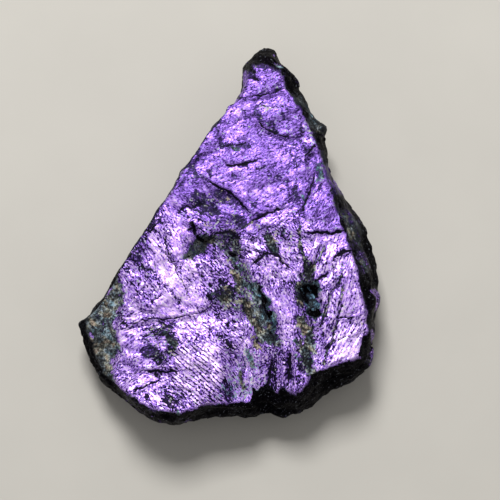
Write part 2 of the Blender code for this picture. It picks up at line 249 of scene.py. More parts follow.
class Layer(Enum):
    """What is laid on the stone's points for its finish to read.

    TONE is how light the purple is, and MOSAIC how far it goes to light or dark chips. CRUST, SOOT_AND_SHADE
    and CRACKED are how much grey crust, black and open crack there is, and CRUST_HUE is the crust's kind. The
    black is the real black coating, and painted shade along shadowed edges, walls, a notch and step feet.
    TERRACE counts the fine cleavage steps, BROKEN is how broken up the surface looks, and LINES is where thin
    straight lines run.
    """

    TONE = "tone"
    MOSAIC = "mosaic"
    CRUST = "crust"
    CRUST_HUE = "crust_hue"
    SOOT_AND_SHADE = "soot_and_shade"
    CRACKED = "cracked"
    TERRACE = "terrace"
    BROKEN = "broken"
    LINES = "lines"


Layers = dict[Layer, np.ndarray]


class Draw(IntEnum):
    """How much further a flake's seed goes on for each thing that is drawn from it."""

    LIFT = 100
    TIP = 200
    ROLL = 300
    TONE = 400
    TURN = 500
    PLACE = 600


@dataclass(frozen=True)
class Crack:
    """A crack or crease of the face.

    Attributes:
        path: Its course, in pixels.
        half_width: Half its width, in pixels.
        depth: How deep it goes, in millimetres; a ridge is below nought.
        soot_and_shade: How black it is, from 0 to 1.
    """

    path: Path
    half_width: float
    depth: float
    soot_and_shade: float


@dataclass(frozen=True)
class Ledge:
    """A step of the face, lower on the right hand of its path.

    Attributes:
        path: Its course, in pixels.
        drop: The height of the step, in millimetres.
        heal: How far the lower ground takes to come back up, in pixels.
        soot_and_shade: How black the foot of the step is, from 0 to 1: painted shade under the step.
    """

    path: Path
    drop: float
    heal: float
    soot_and_shade: float


@dataclass(frozen=True)
class Patch:
    """A place on the face with its own colour or height.

    Attributes:
        outline: Its edge, in pixels.
        soft: How far its edge fades, in pixels.
        tone: How much lighter or darker the purple is there.
        crust: How much grey crust lies on it.
        hue: The crust's kind: 0 is brown, 0.2 olive, 0.45 blue-grey, 0.75 blue-green and 1 deep blue.
        soot_and_shade: How black it is.
        drop: How far it lies below its surroundings, in millimetres.
        lines: How strongly thin straight lines run over it.
        calm: How much less broken up the light and dark is inside.
    """

    outline: Path
    soft: float
    tone: float = 0.0
    crust: float = 0.0
    hue: float | None = None
    soot_and_shade: float = 0.0
    drop: float = 0.0
    lines: float = 0.0
    calm: float = 0.0


@dataclass(frozen=True)
class Marks:
    """Small marks of one kind, each a short stroke.

    Attributes:
        strokes: For each stroke half its width, then the x and y of its corners, in pixels.
        tone: How much lighter or darker the stone is there.
        crust: How much grey crust lies there.
        hue: The crust's kind, as on a patch.
        soot_and_shade: How black it is.
    """

    strokes: tuple[tuple[float, ...], ...]
    tone: float = 0.0
    crust: float = 0.0
    hue: float | None = None
    soot_and_shade: float = 0.0


@dataclass(frozen=True)
class Nudge:
    """A place where the stone's outline is pushed out or in.

    Attributes:
        centre: Its middle, in pixels.
        reach: How far around it the stone moves, in pixels.
        move: How far it moves to the right and down, in pixels.
    """

    centre: tuple[float, float]
    reach: float
    move: tuple[float, float]


@dataclass(frozen=True)
class Lay:
    """The way the cleavage streaks run over part of the face.

    Attributes:
        centre: The middle of that part, in pixels.
        reach: How far it reaches, in pixels.
        degrees: The direction of the streaks, from right towards up.
    """

    centre: tuple[float, float]
    reach: float
    degrees: float


@dataclass(frozen=True)
class Flakes:
    """Cleavage flakes of one size.

    Attributes:
        size: Their length along the streaks and their width, in pixels.
        share: How strongly they show beside the large ones.
        seed: Chooses their pattern.
    """

    size: tuple[float, float]
    share: float
    seed: int


@dataclass(frozen=True)
class Coat:
    """How much of one layer lies on the broken walls.

    Attributes:
        layer: The layer.
        level: How much of it lies there on the whole.
        grains: How it varies from place to place.
    """

    layer: Layer
    level: float
    grains: tuple[Grain, ...]


@dataclass(frozen=True)
class Viewpoint:
    """Where the photograph was taken from, in the stone's frame.

    Attributes:
        target: The point in the middle of the photograph, in millimetres.
        distance: From the camera to that point, in millimetres.
        elevation: The camera's height over the horizon, in degrees.
        scale: Millimetres to a pixel at the target.
        clip: The nearest and the furthest that the camera sees, in metres.
    """

    target: tuple[float, float, float] = (2.46, -2.155, 7.0)
    distance: float = 250.0
    elevation: float = 80.0
    scale: float = 0.12
    clip: tuple[float, float] = (0.01, 10.0)

    def focal_pixels(self) -> float:
        """The lens's focal length, in pixels."""
        return self.distance / self.scale

    def place(self) -> Vector:
        """The camera's place, in millimetres."""
        angle = math.radians(self.elevation)
        return Vector(self.target) + self.distance * Vector((0.0, -math.cos(angle), math.sin(angle)))

    def pixels(self, points: np.ndarray) -> np.ndarray:
        """Where points of the stone fall in the photograph.

        Args:
            points: Points in millimetres, a row each.

        Returns:
            Their pixels, a row each.
        """
        angle = math.radians(self.elevation)
        away = points - np.array(self.place())
        depth = math.cos(angle) * away[:, 1] - math.sin(angle) * away[:, 2]
        up = math.sin(angle) * away[:, 1] + math.cos(angle) * away[:, 2]
        middle = FRAME_PIXELS / 2.0
        return middle + self.focal_pixels() * np.column_stack([away[:, 0], -up]) / depth[:, None]

    def camera(self) -> bpy.types.Object:
        """Makes the camera and gives it to the scene.

        Returns:
            The camera.
        """
        data = bpy.data.cameras.new("camera")
        data.sensor_width = SENSOR
        data.lens = SENSOR * self.focal_pixels() / FRAME_PIXELS
        data.clip_start, data.clip_end = self.clip
        camera = bpy.data.objects.new("camera", data)
        camera.location = self.place() * MM
        camera.rotation_euler = (math.radians(90.0 - self.elevation), 0.0, 0.0)
        bpy.context.scene.collection.objects.link(camera)
        bpy.context.scene.camera = camera
        return camera


# What breaks the edges of lines, and what breaks the edges of patches more, all in pixels
LINE_WARPS = (Warp(5.0, 1.3, 1.3, 41), Warp(2.0, 0.8, 0.8, 43))
PATCH_WARPS = (Warp(11.0, 4.0, 4.0, 45), Warp(4.5, 2.4, 2.4, 47))
LINE_WARP_IN_PATCH = 0.7
# How far round a line or a patch its broken edge can reach
LINE_MARGIN = 4.0
PATCH_MARGIN = 8.0


class Face:
    """The stone's points as the photograph shows them.

    Attributes:
        spots: The points' pixels.
        seen: How far each point is turned upwards, from 0 to 1.
        ragged: The pixels, shifted a little so that a line drawn on them gets a broken edge.
        torn: The same, shifted more, for the edges of patches.
    """

    def __init__(self, spots: np.ndarray, seen: np.ndarray) -> None:
        """Keeps the points' pixels and works out the shifted ones."""
        shift = sum(warp.at(spots) for warp in LINE_WARPS)
        self.spots = spots
        self.seen = seen
        self.ragged = spots + shift
        self.torn = spots + sum(warp.at(spots) for warp in PATCH_WARPS) + LINE_WARP_IN_PATCH * shift

    def near(self, path: Path, reach: float) -> np.ndarray:
        """The points within reach of a path's box."""
        corners = np.array(path)
        low = corners.min(axis=0) - reach
        high = corners.max(axis=0) + reach
        return np.flatnonzero(((self.spots > low) & (self.spots < high)).all(axis=1))

    def from_line(self, path: Path, spots: np.ndarray) -> tuple[np.ndarray, np.ndarray, np.ndarray]:
        """Measures points from a path.

        Args:
            path: The path, in pixels.
            spots: The points' pixels.

        Returns:
            Their distance, their side, +1 on the right hand, and their place along it from 0 to 1.
        """
        corners = np.array(path)
        runs = corners[1:] - corners[:-1]
        lengths = np.hypot(runs[:, 0], runs[:, 1])
        passed = np.concatenate([[0.0], np.cumsum(lengths)])
        nearest = np.full(len(spots), np.inf)
        side = np.ones(len(spots))
        along = np.zeros(len(spots))
        for start, run, length, before in zip(corners, runs, lengths, passed):
            share = np.clip((spots - start) @ run / length**2, 0.0, 1.0)
            away = spots - start - share[:, None] * run
            distance = np.hypot(away[:, 0], away[:, 1])
            closer = distance < nearest
            across = run[0] * away[:, 1] - run[1] * away[:, 0]
            side = np.where(closer, np.where(across > 0.0, 1.0, -1.0), side)
            along = np.where(closer, (before + share * length) / passed[-1], along)
            nearest = np.where(closer, distance, nearest)
        return nearest, side, along

    def by_line(self, path: Path, reach: float) -> tuple[np.ndarray, np.ndarray, np.ndarray, np.ndarray]:
        """Finds the points near a path and measures them from it, with a broken edge.

        Args:
            path: The path, in pixels.
            reach: How far from the path a point may lie.

        Returns:
            The points, and their distance, side and place along the path.
        """
        chosen = self.near(path, reach + LINE_MARGIN)
        return chosen, *self.from_line(path, self.ragged[chosen])

    def within(self, outline: Path, soft: float, spots: np.ndarray) -> tuple[np.ndarray, np.ndarray]:
        """How far inside an outline each nearby point lies.

        Args:
            outline: The closed outline, in pixels.
            soft: How far its edge fades on both sides.
            spots: The pixels to measure: the ragged or the torn.

        Returns:
            The nearby points, and 0 to 1 for each.
        """
        chosen = self.near(outline, soft + PATCH_MARGIN)
        ring = outline + outline[:1]
        places = spots[chosen]
        distance, _, _ = self.from_line(ring, places)
        held = np.zeros(len(chosen), bool)
        for (x0, y0), (x1, y1) in zip(ring, ring[1:]):
            if y0 == y1:
                continue
            crosses = (places[:, 1] < y0) != (places[:, 1] < y1)
            held ^= crosses & (places[:, 0] < x0 + (places[:, 1] - y0) * (x1 - x0) / (y1 - y0))
        return chosen, fading(np.where(held, -distance, distance), -soft, soft)


RIM: Path = (
    (250, 66), (262, 66), (270, 68), (279, 69), (283, 78), (286, 89), (293, 97), (302, 111), (309, 126),
    (315, 140), (320, 153), (325, 169), (331, 190), (336, 210), (344, 233), (352, 256), (359, 275),
    (363, 295), (366, 313), (368, 330), (367, 337), (361, 340), (361, 356), (350, 360), (336, 365),
    (322, 371), (312, 373), (309, 380), (303, 391), (297, 396), (283, 387), (277, 393), (268, 387),
    (261, 392), (253, 389), (252, 403), (232, 403), (208, 404), (192, 410), (176, 414), (158, 411),
    (141, 403), (128, 394), (116, 385), (104, 375), (96, 362), (90, 349), (84, 334), (80, 322), (86, 311),
    (98, 294), (107, 279), (115, 262), (125, 247), (137, 228), (147, 213), (158, 199), (168, 186),
    (177, 166), (186, 152), (195, 140), (212, 117), (223, 102), (233, 95), (241, 84), (243, 74),
)

LAYS = (
    Lay((262, 90), 40.0, 30.0),
    Lay((265, 125), 45.0, 18.0),
    Lay((238, 165), 48.0, 24.0),
    Lay((270, 195), 45.0, 30.0),
    Lay((322, 195), 28.0, 52.0),
    Lay((205, 210), 26.0, -28.0),
    Lay((155, 260), 38.0, -56.0),
    Lay((192, 290), 42.0, -46.0),
    Lay((198, 370), 44.0, -40.0),
    Lay((140, 350), 30.0, 18.0),
    Lay((283, 300), 36.0, -72.0),
    Lay((270, 372), 34.0, 84.0),
    Lay((285, 245), 28.0, -42.0),
    Lay((335, 275), 40.0, 74.0),
    Lay((345, 340), 26.0, 62.0),
)

CRACKS = (
    # the bevel along the left edge: painted shade, a black line with no depth where the bevel turns from the
    # light
    Crack(((242, 74), (240, 84), (232, 95), (222, 102), (211, 117), (194, 140), (185, 152), (176, 166),
          (167, 186), (157, 199), (146, 213), (136, 228), (124, 247), (114, 262)), 3.0, 0.0, 0.75),
    # the tip
    Crack(((247, 78), (253, 78), (260, 80)), 1.6, 0.10, 0.7),
    Crack(((248, 98), (262, 96), (272, 93), (283, 89), (287, 87)), 1.3, 0.12, 0.6),
    # the speckled oval below it
    Crack(((254, 112), (257, 108), (262, 106), (276, 107), (285, 108), (295, 114), (306, 125)), 1.2, 0.06,
          0.35),
    Crack(((256, 120), (262, 126), (268, 131), (275, 134), (285, 136), (296, 134)), 1.5, 0.12, 0.65),
    # the chip on the right edge
    Crack(((317, 142), (312, 149), (307, 155), (305, 162)), 1.5, 0.10, 0.7),
    Crack(((292, 145), (293, 157)), 1.0, 0.05, 0.4),
    # fine cracks of the upper half
    Crack(((222, 160), (228, 166), (240, 165), (252, 162), (262, 160)), 1.6, 0.10, 0.7),
    Crack(((222, 148), (236, 145), (252, 141)), 2.6, 0.04, 0.3),
    Crack(((316, 168), (313, 180), (309, 192), (305, 203), (301, 213), (298, 225)), 1.4, 0.12, 0.65),
    Crack(((327, 180), (318, 190), (310, 200)), 1.2, 0.06, 0.45),
    Crack(((250, 222), (262, 217), (270, 212), (287, 208)), 1.8, 0.12, 0.6),
    Crack(((287, 205), (294, 192), (300, 180)), 1.3, 0.05, 0.35),
    Crack(((178, 212), (185, 207), (195, 207), (205, 203)), 3.2, 0.06, 0.45),
    # the slanting ledge in the middle
    Crack(((205, 177), (210, 182), (217, 186), (225, 190), (231, 194), (236, 198), (240, 203), (245, 208),
          (250, 213)), 1.5, 0.10, 0.8),
    # the black cracks across the right-hand facets
    Crack(((303, 233), (318, 233), (327, 232), (330, 234), (340, 231), (347, 230)), 1.6, 0.18, 1.0),
    Crack(((332, 261), (336, 257), (341, 254), (345, 251), (352, 252)), 1.8, 0.16, 1.0),
    Crack(((315, 282), (320, 279), (325, 275), (328, 270)), 1.6, 0.12, 0.8),
    Crack(((335, 318), (346, 318), (358, 317)), 1.2, 0.10, 0.65),
    # mottled veins between the middle and the pit
    Crack(((323, 240), (321, 250), (315, 262), (308, 272)), 2.0, 0.1, 0.35),
    Crack(((268, 250), (262, 257), (252, 264)), 1.8, 0.10, 0.6),
    Crack(((268, 254), (278, 256), (284, 263), (291, 271)), 1.8, 0.10, 0.6),
    # the long creases of the right-hand facets
    Crack(((345, 262), (342, 270), (340, 280), (335, 288), (330, 295), (328, 305), (323, 318), (319, 330),
          (316, 342)), 1.3, 0.06, 0.35),
    Crack(((344, 283), (343, 295), (341, 308), (338, 320), (334, 332), (331, 345), (327, 358), (323, 365)),
          1.4, 0.06, 0.35),
    # around the dark hollow
    Crack(((193, 224), (195, 230), (195, 236)), 1.7, 0.16, 0.9),
    Crack(((186, 230), (192, 228)), 1.4, 0.1, 0.8),
    Crack(((212, 233), (232, 232), (240, 240)), 1.8, 0.12, 0.75),
    # hairlines of the upper half and the left plate
    Crack(((293, 157), (297, 170), (296, 182), (291, 194)), 0.9, 0.04, 0.42),
    Crack(((262, 142), (275, 146), (288, 145)), 0.9, 0.04, 0.4),
    Crack(((231, 128), (238, 122), (243, 112)), 0.9, 0.04, 0.4),
    Crack(((214, 186), (228, 180), (246, 179), (262, 184)), 0.8, 0.04, 0.4),
    Crack(((252, 236), (262, 229), (275, 226), (288, 219)), 0.9, 0.05, 0.45),
    Crack(((250, 88), (257, 93), (268, 95)), 0.8, 0.04, 0.4),
    Crack(((329, 262), (334, 268), (333, 280)), 0.9, 0.05, 0.45),
    Crack(((330, 345), (341, 338), (352, 336), (360, 331)), 0.9, 0.05, 0.42),
    Crack(((208, 330), (220, 336), (231, 345), (238, 353)), 0.9, 0.05, 0.45),
    # the bright left half
    Crack(((168, 228), (165, 250), (170, 262), (183, 259)), 1.0, 0.06, 0.5),
    Crack(((164, 236), (167, 250), (173, 264), (179, 277), (187, 292), (192, 303)), 0.9, 0.05, 0.5),
    Crack(((148, 234), (154, 227), (160, 221)), 1.4, 0.08, 0.6),
    Crack(((120, 337), (127, 330), (133, 324), (140, 321), (155, 318), (175, 319), (185, 316), (200, 312),
          (215, 303), (225, 295)), 1.1, 0.07, 0.5),
    Crack(((150, 303), (160, 297), (165, 293)), 1.2, 0.06, 0.5),
    Crack(((170, 291), (176, 298), (183, 303)), 1.2, 0.06, 0.5),
    Crack(((142, 371), (160, 371), (175, 371), (177, 377)), 1.5, 0.12, 0.9),
    Crack(((130, 392), (140, 389), (150, 384), (158, 380), (163, 377)), 1.3, 0.1, 0.8),
    # the folds at the broad end
    Crack(((272, 360), (270, 375), (266, 388)), 2.0, 0.16, 0.7),
    Crack(((289, 350), (290, 365), (288, 385)), 2.0, 0.16, 0.7),
    Crack(((284, 360), (285, 372), (284, 385)), 1.8, -0.12, 0.0),
)

LEDGES = (
    Ledge(((205, 177), (217, 186), (231, 194), (240, 203), (250, 213)), 0.12, 9.0, 0.35),
    Ledge(((303, 233), (318, 233), (330, 234), (347, 230)), 0.08, 6.0, 0.1),
    Ledge(((142, 371), (160, 371), (175, 371)), 0.06, 6.0, 0.0),
    Ledge(((120, 337), (133, 324), (155, 318), (185, 316), (215, 303)), 0.06, 8.0, 0.1),
    Ledge(((256, 120), (268, 131), (285, 136), (296, 134)), -0.10, 7.0, 0.1),
)

PATCHES = (
    # where fine parallel lines show
    Patch(((170, 348), (205, 345), (226, 380), (222, 402), (200, 410), (176, 392)), 4.0, lines=1.0),
    Patch(((150, 234), (166, 230), (176, 262), (166, 300), (152, 298)), 4.0, lines=0.5),
    Patch(((212, 318), (240, 322), (250, 350), (226, 352)), 4.0, lines=0.5),
    Patch(((303, 238), (345, 236), (362, 300), (366, 335), (322, 366), (325, 320), (318, 282)), 4.0,
          lines=0.4),
    Patch(((338, 320), (361, 320), (361, 358), (335, 361)), 3.0, lines=0.3),
    # how light the purple is over wide parts
    Patch(((240, 70), (282, 66), (300, 104), (322, 150), (330, 190), (312, 214), (262, 214), (236, 196),
          (206, 170), (186, 168), (206, 130)), 9.0, tone=-0.05),
    Patch(((246, 66), (280, 70), (287, 95), (250, 98)), 5.0, tone=-0.08),
    Patch(((222, 104), (246, 100), (256, 122), (248, 142), (214, 142)), 5.0, tone=-0.04),
    Patch(((284, 142), (304, 138), (308, 166), (288, 170)), 4.0, tone=-0.12),
    Patch(((308, 184), (326, 184), (334, 212), (312, 220)), 4.0, tone=-0.06),
    Patch(((248, 60), (262, 60), (280, 66), (280, 72), (262, 68), (250, 71)), 3.0, tone=-0.2),
    Patch(((254, 108), (275, 104), (297, 112), (312, 133), (296, 136), (275, 135), (256, 121)), 4.0,
          tone=-0.02, crust=0.14, hue=0.5),
    Patch(((172, 190), (160, 204), (140, 232), (122, 262), (124, 276), (142, 256), (158, 232), (170, 210)),
          5.0, tone=-0.12),
    Patch(((184, 160), (200, 150), (206, 170), (196, 186), (176, 186)), 6.0, tone=-0.08),
    # the bright lower left: partly lighter purple, partly painted highlight where its fine facets face the
    # light
    Patch(((150, 226), (190, 226), (186, 262), (150, 262)), 7.0, tone=0.07),
    Patch(((154, 262), (200, 264), (204, 302), (182, 318), (154, 316)), 7.0, tone=0.17),
    Patch(((317, 238), (346, 240), (362, 300), (364, 320), (322, 324), (318, 282)), 4.0, tone=0.10),
    Patch(((118, 384), (130, 394), (150, 408), (176, 412), (196, 406), (180, 396), (150, 388)), 4.0,
          tone=-0.1),
    Patch(((118, 322), (218, 318), (224, 400), (188, 408), (150, 400), (118, 372)), 8.0, tone=0.03),
    # the bright striated zone: partly lighter purple, partly painted highlight where it tilts towards the
    # light
    Patch(((172, 350), (218, 345), (222, 400), (196, 406), (178, 385)), 6.0, tone=0.19),
    Patch(((303, 236), (345, 234), (352, 256), (362, 300), (366, 335), (360, 358), (335, 362), (318, 368),
          (325, 320), (318, 282), (303, 262)), 6.0, tone=0.07),
    Patch(((338, 320), (361, 320), (361, 358), (335, 361)), 4.0, tone=0.2),
    Patch(((195, 185), (215, 188), (236, 203), (250, 217), (252, 232), (235, 236), (205, 230), (190, 223),
          (180, 212)), 6.0, tone=-0.15, crust=0.12, hue=0.3),
    Patch(((262, 258), (285, 262), (298, 290), (297, 330), (288, 345), (272, 330), (262, 300)), 5.0,
          tone=0.10),
    Patch(((256, 224), (292, 224), (300, 252), (262, 258)), 6.0, tone=-0.06, crust=0.2, hue=0.3),
    Patch(((268, 345), (305, 345), (312, 372), (300, 396), (268, 392)), 6.0, tone=-0.09),
    Patch(((205, 262), (232, 262), (236, 300), (208, 300)), 7.0, tone=-0.06),
    # smooth plates, light and deep violet
    Patch(((118, 334), (125, 329), (134, 331), (140, 339), (140, 350), (133, 356), (126, 362), (121, 362),
          (118, 350)), 1.2, tone=0.1, calm=0.35),
    Patch(((156, 300), (163, 295), (172, 296), (178, 305), (184, 312), (176, 318), (160, 320), (153, 317),
          (154, 308)), 1.2, tone=0.05, calm=0.35),
    Patch(((122, 286), (128, 286), (134, 294), (136, 302), (128, 304), (122, 298)), 1.0, tone=0.12,
          calm=0.3),
    Patch(((168, 280), (178, 278), (190, 292), (200, 304), (196, 312), (184, 306), (176, 296)), 1.2,
          tone=0.06, calm=0.3),
    Patch(((140, 377), (150, 374), (158, 377), (156, 384), (146, 388), (138, 386)), 1.0, tone=0.1,
          calm=0.3),
    Patch(((126, 364), (140, 357), (150, 362), (146, 370), (134, 374), (126, 370)), 1.2, tone=0.08,
          calm=0.3),
    Patch(((306, 238), (318, 235), (330, 236), (345, 233), (350, 246), (340, 252), (328, 262), (318, 264),
          (310, 256), (306, 246)), 1.2, tone=0.06, calm=0.35),
    Patch(((338, 262), (345, 258), (352, 262), (357, 285), (361, 316), (348, 317), (340, 300), (334, 285)),
          1.2, tone=0.06, calm=0.35),
    Patch(((264, 292), (275, 290), (290, 292), (300, 306), (302, 314), (290, 318), (276, 318), (268, 308)),
          1.4, tone=0.05, calm=0.35),
    Patch(((176, 224), (186, 226), (192, 232), (190, 248), (184, 258), (174, 262), (170, 254), (172, 240)),
          1.2, tone=0.04, calm=0.4),
    Patch(((151, 238), (157, 238), (163, 252), (168, 268), (170, 280), (163, 280), (156, 262), (151, 248)),
          1.2, tone=0.05, calm=0.4),
    Patch(((203, 247), (212, 243), (217, 250), (214, 262), (206, 262), (202, 254)), 1.5, tone=-0.07,
          calm=0.5),
    Patch(((134, 246), (142, 238), (150, 242), (152, 256), (146, 264), (136, 260)), 1.8, tone=-0.08,
          calm=0.45),
    Patch(((138, 350), (148, 346), (158, 350), (158, 360), (146, 361), (138, 357)), 1.5, tone=-0.1,
          calm=0.5),
    # grey, brown and blue-green crust
    Patch(((222, 352), (262, 352), (268, 402), (230, 404)), 7.0, tone=0.09, crust=0.27, hue=0.55),
    Patch(((219, 380), (236, 380), (236, 402), (219, 404)), 4.0, tone=-0.12, crust=0.12, hue=0.9),
    Patch(((142, 325), (178, 322), (180, 345), (164, 362), (144, 356)), 6.0, tone=-0.10, crust=0.25,
          hue=0.3),
    Patch(((303, 262), (312, 262), (314, 286), (300, 300), (296, 284)), 4.0, tone=-0.10, crust=0.45,
          hue=0.3),
    Patch(((299, 316), (317, 318), (316, 376), (302, 374), (296, 345)), 5.0, tone=-0.06, crust=0.3,
          hue=0.3),
    Patch(((193, 234), (204, 234), (212, 236), (208, 246), (199, 259), (190, 262), (183, 258), (188, 249),
          (190, 240)), 2.5, tone=-0.22, crust=0.68, hue=0.5, soot_and_shade=0.39, drop=0.08),
    Patch(((204, 233), (218, 232), (238, 234), (246, 250), (234, 258), (222, 248), (208, 244)), 5.0,
          tone=-0.22, crust=0.44, hue=0.35, soot_and_shade=0.25, drop=0.04),
    Patch(((230, 254), (241, 258), (247, 275), (257, 283), (268, 304), (276, 319), (280, 338), (270, 346),
          (263, 343), (254, 326), (244, 311), (240, 294), (231, 277)), 3.5, tone=-0.05, crust=0.5, hue=0.4,
          drop=0.06),
    Patch(((206, 294), (222, 287), (236, 291), (244, 304), (252, 324), (236, 312), (212, 304)), 3.5,
          tone=-0.14, crust=0.4, hue=0.4, soot_and_shade=0.14),
    Patch(((254, 284), (260, 292), (268, 302), (276, 318), (276, 334), (268, 326), (260, 308)), 2.5,
          tone=-0.1, crust=0.5, hue=0.95, soot_and_shade=0.35, drop=0.12),
    Patch(((303, 285), (317, 284), (319, 292), (315, 297), (317, 303), (322, 308), (321, 316), (313, 317),
          (307, 312), (306, 303), (299, 300)), 1.5, tone=-0.16, crust=0.85, hue=1.0, soot_and_shade=0.4, drop=0.12),
    Patch(((294, 283), (303, 284), (301, 298), (308, 318), (298, 320), (295, 300)), 3.0, tone=-0.12,
          crust=0.35, hue=0.3),
    Patch(((314, 163), (325, 161), (328, 178), (317, 181)), 3.0, tone=-0.05, crust=0.6, hue=0.95, soot_and_shade=0.2),
    Patch(((72, 322), (96, 290), (115, 262), (122, 285), (119, 310), (116, 325), (118, 352), (110, 356),
          (110, 365), (112, 375), (118, 386), (96, 384), (78, 352), (72, 335)), 3.0, tone=-0.02, crust=0.9,
          hue=0.45, soot_and_shade=0.16),
    # black places
    Patch(((246, 67), (256, 67), (257, 74), (247, 74)), 2.0, soot_and_shade=0.6),
    Patch(((360, 338), (369, 338), (369, 356), (361, 356)), 1.5, soot_and_shade=0.9),
    # painted shade: the lowered notch in the bottom edge, black as the shadow it lay in
    Patch(((253, 387), (270, 387), (270, 402), (253, 402)), 2.0, soot_and_shade=0.9, crust=0.4, hue=0.9),
)

